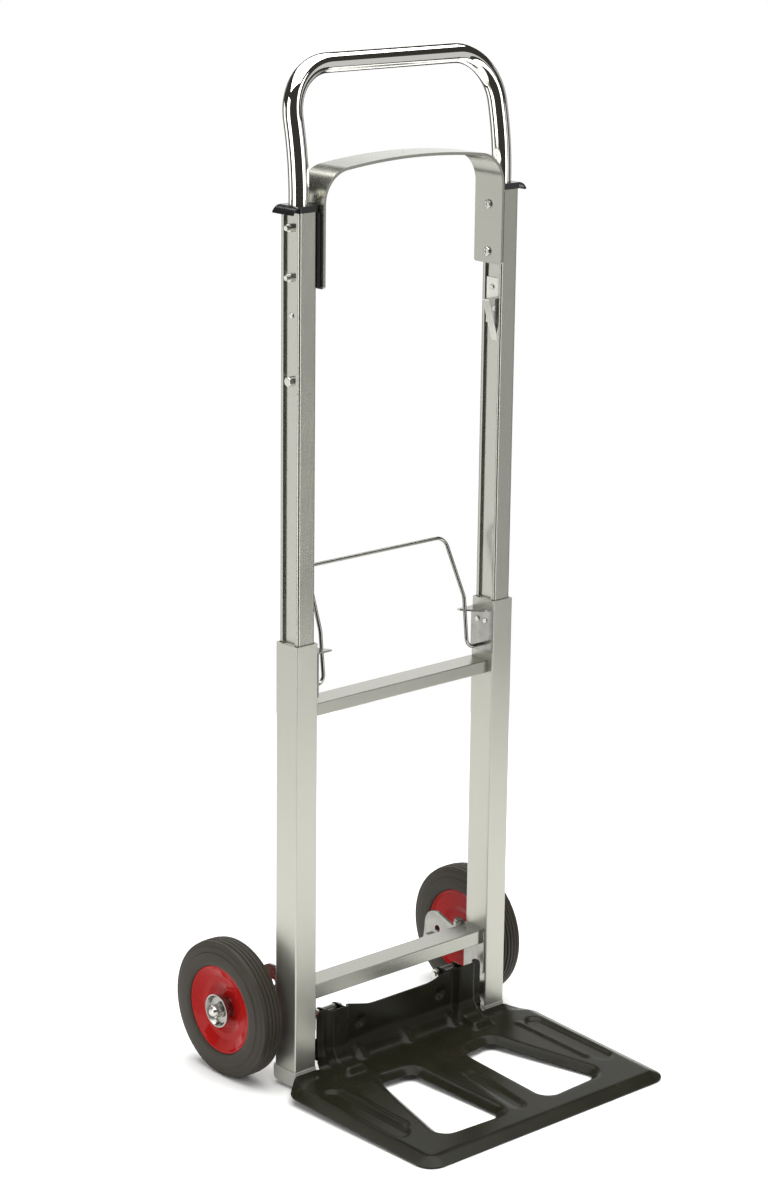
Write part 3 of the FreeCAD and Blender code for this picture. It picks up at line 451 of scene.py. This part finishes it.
class Finishes:
    """Every material of the truck, made once."""

    def __init__(self) -> None:
        """Build the materials."""
        self.lower_tube = SatinAluminium("lower_tube_aluminium", Grain.ALONG_Z, 0.47, 0.33).make()
        self.mid_tube = SatinAluminium("mid_tube_aluminium", Grain.ALONG_Z, 0.46).make()
        # The cross bars and the grab strap are darker copies of the tubes' satin aluminium; their
        # lower tone is painted shade.
        self.cross_bar = SatinAluminium("cross_bar_aluminium_painted_shade", Grain.ALONG_X, 0.38).make()
        self.strap = SatinAluminium("strap_aluminium_painted_shade", Grain.ALONG_X, 0.39).make()
        self.chrome = Chrome().make()
        self.wire = Chrome("bright_steel_wire", (0.30, 0.295, 0.27), 0.10).make()
        self.zinc = Zinc().make()
        self.fastener = Zinc("bright_zinc", (0.70, 0.69, 0.65), (0.46, 0.455, 0.42)).make()
        self.black_steel = BakedEnamel().make()
        self.red = GlossEnamel().make()
        self.tyre = TyreRubber().make()
        self.gloss_black = MouldedPlastic().make()
        self.grey = MouldedPlastic("grey_plastic", (0.30, 0.30, 0.27), 0.42).make()
        self.nylon = MouldedPlastic("white_nylon", (0.62, 0.61, 0.58), 0.40).make()

    def _groups(self) -> list[tuple[bpy.types.Material, tuple[str, ...]]]:
        """List the finishes of the CAD nodes.

        Returns:
            Each finish with the name stems of its nodes; where two rows fit, the later one wins.
        """
        return [
            (self.zinc, ("",)),
            (self.lower_tube, ("lower_tube",)),
            (self.mid_tube, ("mid_tube",)),
            (self.cross_bar, ("cross_bar",)),
            (self.strap, ("grab_strap",)),
            (self.chrome, ("handle",)),
            (self.wire, ("bail_wire",)),
            (self.black_steel, ("toe_plate",)),
            # The strap spacer is dressed in gloss black, which makes the dark strip between the
            # grab strap and the mid tube.
            (self.gloss_black, ("top_cap", "strap_spacer")),
            (self.grey, ("foot_plug",)),
            (self.nylon, ("guide_pads", "glide_shoe")),
            (self.fastener, ("strap_screws", "strap_nuts", "catch_rivets", "travel_stops",
                             "stop_catch", "axle_nut", "cam_", "plate_rivets", "cross_bar_screws")),
            (self.red, ("hub_disc",)),
            (self.tyre, ("tyre",)),
        ]

    def dress(self, frame: dict) -> None:
        """Give every CAD node its finish.
        """
        groups = self._groups()
        for name, node in frame["nodes"].items():
            chosen = [material for material, stems in groups if name.startswith(stems)][-1]
            node.data.materials.clear()
            node.data.materials.append(chosen)
            LOG.info("dressed %s in %s", name, chosen.name)


# ---- the studio ---------------------------------------------------------------------------
@dataclass(frozen=True)
class Panel:
    """An upright light panel round the truck, in metres."""

    name: str
    turn: float  # degrees round from the camera's side
    distance: float
    width: float
    foot: float
    height: float
    glow: float


@dataclass
class Studio:
    """Pale floor, soft lights and the camera."""

    focal: float = 91.42
    sensor: float = 36.0
    far_end: float = 50.0
    yaw: float = -41.97
    pitch: float = -15.59
    roll: float = 0.68
    eye: Vector = field(default_factory=lambda: Vector((-2.05596, -2.26446 + ORIGIN_Y, 1.35919)))
    floor_radius: float = 1.25
    floor_colour: Colour = (0.93, 0.93, 0.92)
    floor_shade: float = 0.985
    floor_roughness: float = 0.85
    floor_sides: int = 96
    backdrop: Colour = (1.0, 1.0, 1.0)
    room: Colour = (0.042, 0.040, 0.034)
    overhead_power: float = 190.0
    overhead_place: Corner = (0.1, 0.1, 3.1)
    overhead_size: tuple[float, float] = (3.4, 3.4)
    panels: tuple[Panel, ...] = (
        Panel("left_box", -50.0, 2.2, 1.1, -0.7, 3.2, 3.0),
        Panel("right_box", 60.0, 2.2, 0.8, -0.7, 3.2, 3.0),
        Panel("rear_panel", 180.0, 3.0, 2.4, 0.3, 2.0, 1.25),
        Panel("left_rear_panel", -100.0, 2.6, 1.3, -0.7, 2.2, 1.32),
        Panel("right_panel", 88.0, 2.6, 0.9, -0.7, 2.2, 0.6),
        Panel("right_rear_panel", 132.0, 2.8, 1.4, -0.7, 2.6, 0.45),
        Panel("left_back_panel", -142.0, 2.8, 1.2, -0.7, 2.6, 0.30),
    )

    def build(self) -> None:
        """Make everything that isn't the object."""
        self._camera()
        self._floor()
        self._lights()
        self._world()

    def _camera(self) -> None:
        """Stand the camera at its eye point, level but for a slight roll."""
        data = bpy.data.cameras.new("camera")
        data.lens = self.focal
        data.sensor_width = self.sensor
        data.clip_end = self.far_end
        camera = bpy.data.objects.new("camera", data)
        bpy.context.scene.collection.objects.link(camera)
        yaw, pitch, roll = (math.radians(angle) for angle in (self.yaw, self.pitch, self.roll))
        level = Vector((-math.sin(yaw), math.cos(yaw), 0.0))
        ahead = level * math.cos(pitch) + Vector((0.0, 0.0, math.sin(pitch)))
        right = ahead.cross(Vector((0, 0, 1))).normalized()
        up = right.cross(ahead)
        side = right * math.cos(roll) + up * math.sin(roll)
        top = up * math.cos(roll) - right * math.sin(roll)
        turn = Matrix((side, top, -ahead)).transposed()
        camera.matrix_world = Matrix.Translation(self.eye) @ turn.to_4x4()
        bpy.context.scene.camera = camera

    def _floor(self) -> None:
        """Lay a round pale floor under the truck."""
        mesh = bpy.data.meshes.new("floor")
        form = bmesh.new()
        bmesh.ops.create_circle(form, cap_ends=True, segments=self.floor_sides,
                                radius=self.floor_radius)
        form.to_mesh(mesh)
        form.free()
        sheet = Sheet("floor_paper")
        shade = scaled(self.floor_colour, self.floor_shade)
        colour = sheet.mixed(sheet.noise(0.8), shade, self.floor_colour)
        sheet.set(Base_Color=colour, Roughness=self.floor_roughness)
        mesh.materials.append(sheet.material)
        floor = bpy.data.objects.new("floor", mesh)
        bpy.context.scene.collection.objects.link(floor)

    def _lights(self) -> None:
        """Hang the overhead sheet and stand the panels round the truck."""
        self._softbox("overhead", Vector(self.overhead_place), Vector(), self.overhead_size,
                      self.overhead_power)
        for panel in self.panels:
            heading = math.radians(panel.turn - 90 + self.yaw)
            spot = Vector((math.cos(heading) * panel.distance, math.sin(heading) * panel.distance,
                           panel.foot + panel.height / 2))
            size = (panel.width, panel.height)
            power = panel.glow * math.pi * panel.width * panel.height
            self._softbox(panel.name, spot, Vector((0, 0, spot.z)), size, power)

    @staticmethod
    def _softbox(name: str, place: Vector, aim: Vector, size: tuple[float, float],
                 power: float) -> None:
        """Add a rectangular area light.

        Args:
            name: the light's name.
            place: where its middle is.
            aim: the point it faces.
            size: its width and height in metres.
            power: its power in watts.
        """
        data = bpy.data.lights.new(name, "AREA")
        data.shape = "RECTANGLE"
        data.size, data.size_y = size
        data.energy = power
        lamp = bpy.data.objects.new(name, data)
        lamp.location = place
        lamp.rotation_euler = (aim - place).to_track_quat("-Z", "Y").to_euler()
        lamp.visible_camera = False
        bpy.context.scene.collection.objects.link(lamp)

    def _world(self) -> None:
        """Set a white backdrop, and a dim room that reflections and fill light meet instead."""
        world = bpy.data.worlds.new("surround")
        world.use_nodes = True
        board = Board(world.node_tree)
        seen = board.node("LightPath", output="Is Camera Ray")
        colour = board.mixed(seen, self.room, self.backdrop)
        background = world.node_tree.nodes["Background"]
        world.node_tree.links.new(colour.socket, background.inputs["Color"])
        bpy.context.scene.world = world
        bpy.context.scene.view_settings.view_transform = "Standard"


# ---- meshes -------------------------------------------------------------------------------
class Form:
    """A mesh under construction, in millimetres with Y = 0 on the uprights."""

    def __init__(self, name: str) -> None:
        """Start an empty form for the piece called name."""
        self.name = name
        self.mesh = bmesh.new()

    def ring(self, points: list[Vector]) -> list[bmesh.types.BMVert]:
        """Add one vertex for each point."""
        return [self.mesh.verts.new(point) for point in points]

    def skin(self, rings: list[list[bmesh.types.BMVert]]) -> None:
        """Join neighbouring closed rings with quads.

        Args:
            rings: rings of the same number of vertices, in order.
        """
        for low, high in zip(rings, rings[1:]):
            count = len(low)
            for i in range(count):
                j = (i + 1) % count
                self.mesh.faces.new((low[i], low[j], high[j], high[i]))

    def lathe(self, profile: Profile, y: float, z: float, steps: int = 144) -> None:
        """Turn a closed profile round a line along X.

        Args:
            profile: its (x, radius) points.
            y: the line's y.
            z: the line's z.
            steps: the number of copies round the line.
        """
        rings = []
        for i in range(steps):
            angle = 2 * math.pi * i / steps
            rings.append(self.ring([Vector((x, y + r * math.cos(angle), z + r * math.sin(angle)))
                                    for x, r in profile]))
        self.skin(rings + [rings[0]])

    def prism(self, outline: list[Vector], push: Vector) -> None:
        """Extrude a closed outline.

        Args:
            outline: its corners in order.
            push: the way and distance it is pushed.
        """
        low = self.ring(outline)
        high = self.ring([point + push for point in outline])
        self.skin([low, high])
        self.mesh.faces.new(low)
        self.mesh.faces.new(high)

    def thicken(self, thickness: float) -> None:
        """Turn an open sheet into a closed one of some thickness, below its load face.

        Args:
            thickness: the distance between the faces.
        """
        self.mesh.normal_update()
        tops = list(self.mesh.verts)
        faces = [list(face.verts) for face in self.mesh.faces]
        rims = [tuple(edge.verts) for edge in self.mesh.edges if edge.is_boundary]
        places = []
        for vert in tops:
            facing = 1 if vert.normal.z + abs(vert.normal.y) > 0 else -1
            places.append(vert.co - vert.normal * thickness * facing)
        under = dict(zip(tops, self.ring(places)))
        for corners in faces:
            self.mesh.faces.new([under[vert] for vert in reversed(corners)])
        for a, b in rims:
            self.mesh.faces.new((a, b, under[b], under[a]))

    def finish(self, material: bpy.types.Material, crease: float = 32.0,
               bevel: float = 0.0) -> bpy.types.Object:
        """Turn the form into an object.

        Args:
            material: its finish.
            crease: edges sharper than this angle in degrees stay sharp.
            bevel: width of the rounding on its sharp edges.

        Returns:
            The new object, in the frame's metres.
        """
        bmesh.ops.recalc_face_normals(self.mesh, faces=self.mesh.faces)
        into_frame = Matrix.Translation((0, ORIGIN_Y, 0)) @ Matrix.Scale(MM, 4)
        bmesh.ops.transform(self.mesh, matrix=into_frame, verts=self.mesh.verts)
        limit = math.radians(crease)
        if bevel:
            sharp = [edge for edge in self.mesh.edges if edge.calc_face_angle(0.0) > limit]
            bmesh.ops.bevel(self.mesh, geom=sharp, offset=bevel * MM, segments=2, profile=0.6,
                            affect="EDGES", clamp_overlap=True)
        for face in self.mesh.faces:
            face.smooth = True
        for edge in self.mesh.edges:
            edge.smooth = edge.calc_face_angle(0.0) < limit
        data = bpy.data.meshes.new(self.name)
        self.mesh.to_mesh(data)
        self.mesh.free()
        data.materials.append(material)
        piece = bpy.data.objects.new(self.name, data)
        bpy.context.scene.collection.objects.link(piece)
        return piece


def place_piece(piece: bpy.types.Object, body: str, slot: str, *nodes: str) -> None:
    """Let a piece ride on a body, and hide the CAD nodes that it replaces.

    Args:
        piece: the piece.
        body: the body it moves with.
        slot: the record's material slot; not used.
        nodes: the CAD nodes that it replaces.
    """
    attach(piece, body)
    if nodes:
        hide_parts(*nodes)
    LOG.info("built %s on %s", piece.name, body)


class RoundedOutline:
    """A closed outline with its own radius at each corner, and its signed distance."""

    straight = 1e-3  # a turn smaller than this, in radians, gets no arc

    def __init__(self, corners: list[Corner], steps: int = 9) -> None:
        """Round the corners.

        Args:
            corners: (x, s, radius) of each corner in order.
            steps: the number of spans in each arc.
        """
        points = []
        count = len(corners)
        for i, (x, s, radius) in enumerate(corners):
            here = Vector((x, s))
            back = (Vector(corners[i - 1][:2]) - here).normalized()
            ahead = (Vector(corners[(i + 1) % count][:2]) - here).normalized()
            half = back.angle(ahead) / 2
            if math.pi / 2 - half < self.straight:
                points.append(here)
                continue
            reach = radius / math.tan(half)
            centre = here + (back + ahead).normalized() * (radius / math.sin(half))
            start, end = here + back * reach - centre, here + ahead * reach - centre
            sweep = start.angle(end)
            for k in range(steps + 1):
                share = k / steps
                mix = start * math.sin((1 - share) * sweep) + end * math.sin(share * sweep)
                points.append(centre + mix / math.sin(sweep))
        self.starts = np.array(points)
        self.spans = np.roll(self.starts, -1, axis=0) - self.starts

    def profile(self) -> Profile:
        """The outline's points."""
        return [tuple(point) for point in self.starts]

    def _nearest(self, where: np.ndarray) -> tuple[np.ndarray, np.ndarray]:
        """Find the outline's nearest point to each of some points.

        Args:
            where: the points, one to a row.

        Returns:
            The nearest points, and how far they are.
        """
        best = np.full(len(where), np.inf)
        nearest = np.zeros_like(where)
        for start, span in zip(self.starts, self.spans):
            share = np.clip(((where - start) @ span) / max(span @ span, 1e-12), 0, 1)
            foot = start + share[:, None] * span
            gap = np.hypot(*(where - foot).T)
            closer = gap < best
            best[closer], nearest[closer] = gap[closer], foot[closer]
        return nearest, best

    def depth(self, where: np.ndarray) -> np.ndarray:
        """Measure how far inside the outline some points are.

        Args:
            where: the points, one to a row.

        Returns:
            The depth of each, negative outside.
        """
        inside = np.zeros(len(where), bool)
        for start, span in zip(self.starts, self.spans):
            end = start + span
            level = (start[1] > where[:, 1]) != (end[1] > where[:, 1])
            if span[1] != 0:
                cross = start[0] + (where[:, 1] - start[1]) * span[0] / span[1]
                inside ^= level & (where[:, 0] < cross)
        gap = self._nearest(where)[1]
        return np.where(inside, gap, -gap)

    def pull(self, where: np.ndarray) -> np.ndarray:
        """The nearest outline point to each row of where."""
        return self._nearest(where)[0]


def eased(share: np.ndarray) -> np.ndarray:
    """A smooth step from 0 to 1."""
    share = np.clip(share, 0, 1)
    return share * share * (3 - 2 * share)


def rounded_step(share: np.ndarray, softness: float) -> np.ndarray:
    """Ramp from 0 to 1 with a soft start, as pressed sheet turns away from a flat.

    Args:
        share: how far up the ramp each point is, from 0 to 1.
        softness: how soft the start is; 0 is a sharp corner.

    Returns:
        The height of each point, as a share of the ramp's.
    """
    start = math.sqrt(softness)
    return (np.sqrt(share ** 2 + softness) - start) / (math.sqrt(1 + softness) - start)


@dataclass(frozen=True)
class Rib:
    """A straight pressed groove or bead, from one s to another at an x, in millimetres."""

    x: float
    run: tuple[float, float]
    flat: float
    wall: float
    rise: float  # negative for a groove
    lean: float = 0.0  # how far x moves for each millimetre past the middle of the run

    def height(self, x: np.ndarray, s: np.ndarray) -> np.ndarray:
        """Work out the rib's height.

        Args:
            x: x of each point.
            s: s of each point.

        Returns:
            The height that the rib adds at each point.
        """
        along = np.clip(s, *self.run)
        middle = self.x + self.lean * (along - sum(self.run) / 2)
        gap = np.hypot(x - middle, s - along)
        return self.rise * (1 - eased((gap - self.flat) / self.wall))


@dataclass
class ToePlate:
    """The black pressed toe plate, its upright flange and its lugs, in millimetres.

    The sheet is drawn flat in x and s, where s runs along Y and then up the flange, and folded.
    """

    half_front: float = 172.7
    half_rear: float = 176.4
    front: float = -249.9
    shoulder: float = -38.0
    rear: float = -20.5
    rear_half: float = 152.0
    neck: float = 118.0
    plane: float = 16.8
    slope: float = 0.0353
    bend_radius: float = 24.0
    flange_y: float = -13.0
    flange_top: float = 69.0
    ear_top: float = 79.0
    ear_from: float = 82.0
    ear_foot: float = 44.0
    sheet: float = 2.0
    border: float = 15.0
    border_drop: float = 6.0
    border_softness: float = 0.015
    border_end: tuple[float, float] = (2.0, 8.0)  # gap past the rear edge, and fade
    lip: float = 10.0
    lip_drop: float = 6.5
    lip_softness: float = 0.02
    window: tuple[Corner, ...] = ((38, -76, 10), (80, -72, 10), (113, -202, 10), (33, -206, 10))
    side_groove: Rib = Rib(147.0, (-176.0, -72.0), 7.5, 5.0, -3.0)
    side_bead: Rib = Rib(130.0, (-168.0, -66.0), 0.0, 5.5, 1.7)
    centre_groove: Rib = Rib(-4.0, (-205.0, -125.0), 4.0, 7.0, -1.8, 0.12)
    darts: tuple[float, ...] = (-64.0, 2.0, 68.0)
    dart_place: float = 0.45  # share of the bend
    dart_reach: float = 11.0
    dart_width: float = 4.5
    dart_rise: float = 2.6
    gusset_x: float = 92.0
    gusset_half: float = 11.0
    gusset_wall: float = 5.0
    gusset_foot: tuple[float, float] = (16.0, 9.0)  # start before the bend, and ramp
    gusset_rise: float = 7.0
    dimple_x: float = 58.0
    dimple_z: float = 53.0
    dimple_flat: float = 2.0
    dimple_wall: float = 5.5
    dimple_drop: float = 2.6
    step: float = 2.4
    weld: float = 0.25
    pivot: tuple[float, float] = (0.0, 36.0)
    pivot_lug: tuple[float, float] = (9.0, 25.0)
    cam: tuple[float, float] = (8.0, 66.0)
    cam_lug: tuple[float, float] = (6.5, 13.0)
    cam_span: tuple[float, float] = (76.0, 96.0)
    lug_bite: float = 1.0
    lug_steps: int = 12
    lug_bevel: float = 0.4
    crease: float = 50.0

    def __post_init__(self) -> None:
        """Work out the bend and the outlines."""
        self.bend_start = self.flange_y - self.bend_radius
        self.bend_z = self.plane + self.slope * self.bend_start + self.bend_radius
        self.bend_length = self.bend_radius * (math.pi / 2 - self.slope)
        self.wall_start = self.bend_start + self.bend_length
        self.top_s = self.wall_start + self.ear_top - self.bend_z
        mid_s = self.wall_start + self.flange_top - self.bend_z
        half = [(self.half_front, self.front, 20.0), (self.half_rear, self.shoulder, 15.0),
                (self.rear_half, self.rear, 12.0), (self.neck + 4.0, self.rear, 2.0),
                (self.neck, self.rear - 5.0, 2.0), (self.neck, self.top_s, 8.0),
                (self.ear_from, self.top_s, 40.0), (self.ear_foot, mid_s, 60.0)]
        self.outline = RoundedOutline(half + [(-x, s, r) for x, s, r in reversed(half)])
        self.windows = [RoundedOutline([(side * x, s, r) for x, s, r in self.window])
                        for side in (1, -1)]

    def _relief(self, flat: np.ndarray) -> np.ndarray:
        """Work out the pressing.

        Args:
            flat: (x, s) points, one to a row.

        Returns:
            The height of each above the plain folded sheet.
        """
        x, s = flat.T
        gap, fade = self.border_end
        on_plate = 1 - eased((s - self.rear - gap) / fade)
        edge = 1 - np.clip(self.outline.depth(flat) / self.border, 0, 1)
        height = -self.border_drop * on_plate * rounded_step(edge, self.border_softness)
        for window in self.windows:
            fall = 1 - np.clip(-window.depth(flat) / self.lip, 0, 1)
            height -= self.lip_drop * rounded_step(fall, self.lip_softness)
        for mirrored in (x, -x):
            height += self.side_groove.height(mirrored, s) + self.side_bead.height(mirrored, s)
        height += self.centre_groove.height(x, s)
        middle = self.bend_start + self.bend_length * self.dart_place
        reach = np.clip(1 - ((s - middle) / self.dart_reach) ** 2, 0, 1)
        for dart in self.darts:
            height += self.dart_rise * reach * np.exp(-((x - dart) / self.dart_width) ** 2)
        before, ramp = self.gusset_foot
        for side in (1, -1):
            beside = np.abs(x - side * self.gusset_x) - self.gusset_half
            across = 1 - eased(beside / self.gusset_wall)
            height += self.gusset_rise * across * eased((s - self.bend_start + before) / ramp)
            up = s - self.wall_start - self.dimple_z + self.bend_z
            dimple = np.hypot(x - side * self.dimple_x, up) - self.dimple_flat
            height -= self.dimple_drop * (1 - eased(dimple / self.dimple_wall))
        return height

    def _folded(self, flat: np.ndarray, height: np.ndarray) -> np.ndarray:
        """Carry points of the flat sheet over the bend.

        Args:
            flat: (x, s) points, one to a row.
            height: how far each is lifted off the sheet.

        Returns:
            Their (x, y, z) places.
        """
        x, s = flat.T
        turned = np.clip((s - self.bend_start) / self.bend_radius, 0,
                         self.bend_length / self.bend_radius)
        angle = turned + math.atan(self.slope)
        radius = self.bend_radius - height
        y = self.bend_start + radius * np.sin(angle)
        z = self.bend_z - radius * np.cos(angle)
        run = np.minimum(s - self.bend_start, 0)
        rise = np.maximum(s - self.wall_start, 0)
        return np.stack([x, y + run, z + run * self.slope + rise], axis=1)

    def _grid(self) -> tuple[np.ndarray, np.ndarray]:
        """Cover the outline with square cells, and leave out the windows.

        Returns:
            All (x, s) grid points, and the corners of each cell that is kept.
        """
        x_count = 2 * math.ceil(self.half_rear / self.step) + 2
        s_count = math.ceil((self.top_s - self.front) / self.step) + 2
        xs = (np.arange(x_count) - (x_count - 1) / 2) * self.step
        ss = self.front - self.step * 0.6 + np.arange(s_count) * self.step
        flat = np.stack(np.meshgrid(xs, ss, indexing="ij"), axis=-1).reshape(-1, 2)
        cell = np.arange(x_count * s_count).reshape(x_count, s_count)
        quads = np.stack([cell[:-1, :-1], cell[1:, :-1], cell[1:, 1:], cell[:-1, 1:]], axis=-1)
        quads = quads.reshape(-1, 4)
        middles = flat[quads].mean(axis=1)
        keep = self.outline.depth(middles) > 0
        for window in self.windows:
            keep &= window.depth(middles) < 0
        return flat, quads[keep]

    def _fit_border(self, flat: np.ndarray, quads: np.ndarray) -> None:
        """Move the border points of a grid onto the nearest outline.

        Args:
            flat: the grid points, which are changed.
            quads: the corners of its cells.
        """
        edges: dict[tuple[int, int], int] = {}
        for quad in quads:
            for a, b in zip(quad, np.roll(quad, -1)):
                key = (min(a, b), max(a, b))
                edges[key] = edges.get(key, 0) + 1
        border = np.array(sorted({v for key, count in edges.items() if count == 1 for v in key}))
        rims = np.stack([shape.pull(flat[border]) for shape in (self.outline, *self.windows)])
        gaps = np.hypot(*np.moveaxis(rims - flat[border], -1, 0))
        flat[border] = rims[gaps.argmin(axis=0), np.arange(len(border))]

    def _pressing(self) -> Form:
        """Make the plate, bend and flange as one sheet.

        Returns:
            The sheet.
        """
        flat, quads = self._grid()
        self._fit_border(flat, quads)
        places = self._folded(flat, self._relief(flat))
        form = Form("toe_plate_pressing")
        corner = {index: form.mesh.verts.new(places[index]) for index in np.unique(quads)}
        for quad in quads:
            form.mesh.faces.new([corner[index] for index in quad])
        bmesh.ops.remove_doubles(form.mesh, verts=form.mesh.verts, dist=self.weld)
        form.thicken(self.sheet)
        return form

    def _lugs(self) -> Form:
        """Make the side lugs on the pivot, and the ears that hold the cam spacers.

        Returns:
            All the lugs.
        """
        form = Form("toe_plate_lugs")
        for side in (1, -1):
            self._lug(form, side, self.neck - self.sheet, self.pivot, self.pivot_lug)
            for x in (self.cam_span[0] - self.sheet, self.cam_span[1]):
                self._lug(form, side, x, self.cam, self.cam_lug)
        return form

    def _lug(self, form: Form, side: int, x: float, eye: tuple[float, float],
             size: tuple[float, float]) -> None:
        """Add a rounded plate from the flange's back out to an eye.

        Args:
            form: the form it is added to.
            side: 1 on the right, -1 on the left.
            x: the distance of its inner face from the middle.
            eye: y and z of the eye.
            size: the radius round the eye, and the height of its root.
        """
        (y, z), (radius, root) = eye, size
        start = self.flange_y + self.lug_bite
        here = side * x
        points = [Vector((here, start, z - root / 2)), Vector((here, y, z - radius))]
        for step in range(1, self.lug_steps):
            angle = -math.pi / 2 + math.pi * step / self.lug_steps
            out, up = radius * math.cos(angle), radius * math.sin(angle)
            points.append(Vector((here, y + out, z + up)))
        points += [Vector((here, y, z + radius)), Vector((here, start, z + root / 2))]
        form.prism(points, Vector((side * self.sheet, 0, 0)))

    def build(self, finishes: Finishes) -> None:
        """Make the pressing and its lugs.

        Args:
            finishes: the materials.
        """
        plate = self._pressing().finish(finishes.black_steel, crease=self.crease)
        place_piece(plate, "toe", "black_steel", "toe_plate")
        lugs = self._lugs().finish(finishes.black_steel, bevel=self.lug_bevel)
        place_piece(lugs, "toe", "black_steel")


@dataclass
class Wheel:
    """One wheel: ribbed tyre, two dished discs and the hub sleeve, in millimetres.

    Profiles are drawn for the right-hand wheel, x outwards from the truck's middle.
    """

    side: int
    centre_y: float = 67.0
    centre_z: float = 75.0
    radius: float = 75.0
    outside: float = 188.0
    inside: float = 158.0
    rim: float = 48.0
    ribs: int = 5
    groove: float = 1.1
    groove_depth: float = 1.5
    rib_crown: float = 0.14
    shoulder: float = 3.4
    disc: float = 1.5
    outer_disc: tuple[float, float] = (177.0, 186.0)
    inner_disc: tuple[float, float] = (165.0, 160.0)
    bore: float = 5.06
    sleeve_start: float = 157.2
    cup_end: float = 190.5

    def _turned(self, name: str, corners: list[Corner], steps: int, material: bpy.types.Material,
                crease: float = 28.0) -> bpy.types.Object:
        """Turn a piece of this wheel.

        Args:
            name: the piece's name.
            corners: (x, r, radius) of each corner of its profile.
            steps: the number of spans in each rounded corner.
            material: its finish.
            crease: edges sharper than this angle in degrees stay sharp.

        Returns:
            The piece.
        """
        form = Form(name)
        profile = RoundedOutline(corners, steps).profile()
        form.lathe([(self.side * x, r) for x, r in profile], self.centre_y, self.centre_z)
        return form.finish(material, crease)

    def _tyre(self) -> list[Corner]:
        """Draw stepped sidewalls, round shoulders and ribs round the tread.

        Returns:
            The profile's corners.
        """
        rim, top = self.rim, self.radius
        sidewall = [(0.6, rim + 1.6, 0.6), (0.0, rim + 4.5, 1.5), (0.2, top - 13.0, 0.8),
                    (1.3, top - 12.0, 0.5), (1.7, top - 7.0, 1.0), (3.0, top - 4.6, 0.6),
                    (3.3, top - 1.2, 1.0)]
        corners = [(self.inside + 1.5, rim + 0.1, 0.8), (self.outside - 1.5, rim + 0.1, 0.8)]
        corners += [(self.outside - inset, r, radius) for inset, r, radius in sidewall]
        width = (self.outside - self.inside - 2 * self.shoulder) / self.ribs
        for index in range(self.ribs):
            x = self.outside - self.shoulder - index * width
            crown = top - 0.10 - self.rib_crown * (index - (self.ribs - 1) / 2) ** 2
            foot = crown - self.groove_depth
            if index:
                corners += [(x - self.groove * 0.35, foot, 0.25), (x - self.groove, crown, 0.35)]
            if index < self.ribs - 1:
                corners += [(x - width, crown, 0.35), (x - width - self.groove * 0.1, foot, 0.2)]
        corners += [(self.inside + inset, r, radius) for inset, r, radius in reversed(sidewall)]
        return corners

    def _dish(self, ends: tuple[float, float], sign: int) -> list[Corner]:
        """Draw a dished sheet from its hub seat out to the rim.

        Args:
            ends: x of the hub seat, and of the rim's edge.
            sign: 1 where the rim's lip points outwards, -1 where it points inwards.

        Returns:
            The profile's corners.
        """
        seat, edge = ends
        back = seat + sign * self.disc
        return [(seat, 11.6, 0.2), (seat, 22.0, 2.0), (seat - sign * 2.4, 28.0, 3.0),
                (seat - sign * 2.8, 35.0, 5.0), (edge + sign * 1.8, 44.0, 3.0),
                (edge + sign * 0.2, 46.2, 0.8), (edge, 47.9, 0.5), (edge + sign * 9.0, 47.9, 0.3),
                (edge + sign * 9.0, 46.5, 0.3), (edge + sign * 2.6, 46.3, 1.0),
                (edge + sign * 3.6, 44.0, 2.0), (back - sign * 2.8, 35.6, 4.0),
                (back - sign * 2.4, 28.6, 3.0), (back, 22.6, 2.0), (back, 11.6, 0.2)]

    def _cup(self) -> list[Corner]:
        """Draw the hub sleeve with the flared cup round the axle nut.

        Returns:
            The profile's corners.
        """
        start, end = self.sleeve_start, self.cup_end
        return [(start, self.bore, 0.2), (start, 9.8, 0.5), (start + 5.8, 9.8, 0.2),
                (start + 5.8, 11.4, 0.4), (end - 11.0, 11.4, 0.6), (end - 7.6, 15.4, 1.5),
                (end - 0.8, 18.0, 0.5), (end, 18.2, 0.3), (end, 16.6, 0.3), (end - 5.6, 14.2, 1.0),
                (end - 6.0, self.bore, 0.2)]

    def build(self, finishes: Finishes) -> None:
        """Make the wheel's four turned pieces.

        Args:
            finishes: the materials.
        """
        name = "right" if self.side > 0 else "left"
        body = f"wheel_{name}"
        tyre = self._turned(f"ribbed_tyre_{name}", self._tyre(), 3, finishes.tyre, 35.0)
        place_piece(tyre, body, "tyre_rubber", f"tyre_{name}")
        outer = self._turned(f"dished_disc_outer_{name}", self._dish(self.outer_disc, -1), 4,
                             finishes.red)
        place_piece(outer, body, "red_paint", f"hub_disc_outer_{name}")
        inner = self._turned(f"dished_disc_inner_{name}", self._dish(self.inner_disc, 1), 4,
                             finishes.red)
        place_piece(inner, body, "red_paint", f"hub_disc_inner_{name}")
        cup = self._turned(f"hub_cup_{name}", self._cup(), 4, finishes.zinc)
        place_piece(cup, body, "zinc_plate", f"hub_sleeve_{name}")


def main() -> None:
    logging.basicConfig(level=logging.INFO, format="%(message)s")
    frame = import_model()
    Studio().build()
    finishes = Finishes()
    finishes.dress(frame)
    ToePlate().build(finishes)
    for side in (1, -1):
        Wheel(side).build(finishes)


if __name__ == "__main__":
    main()
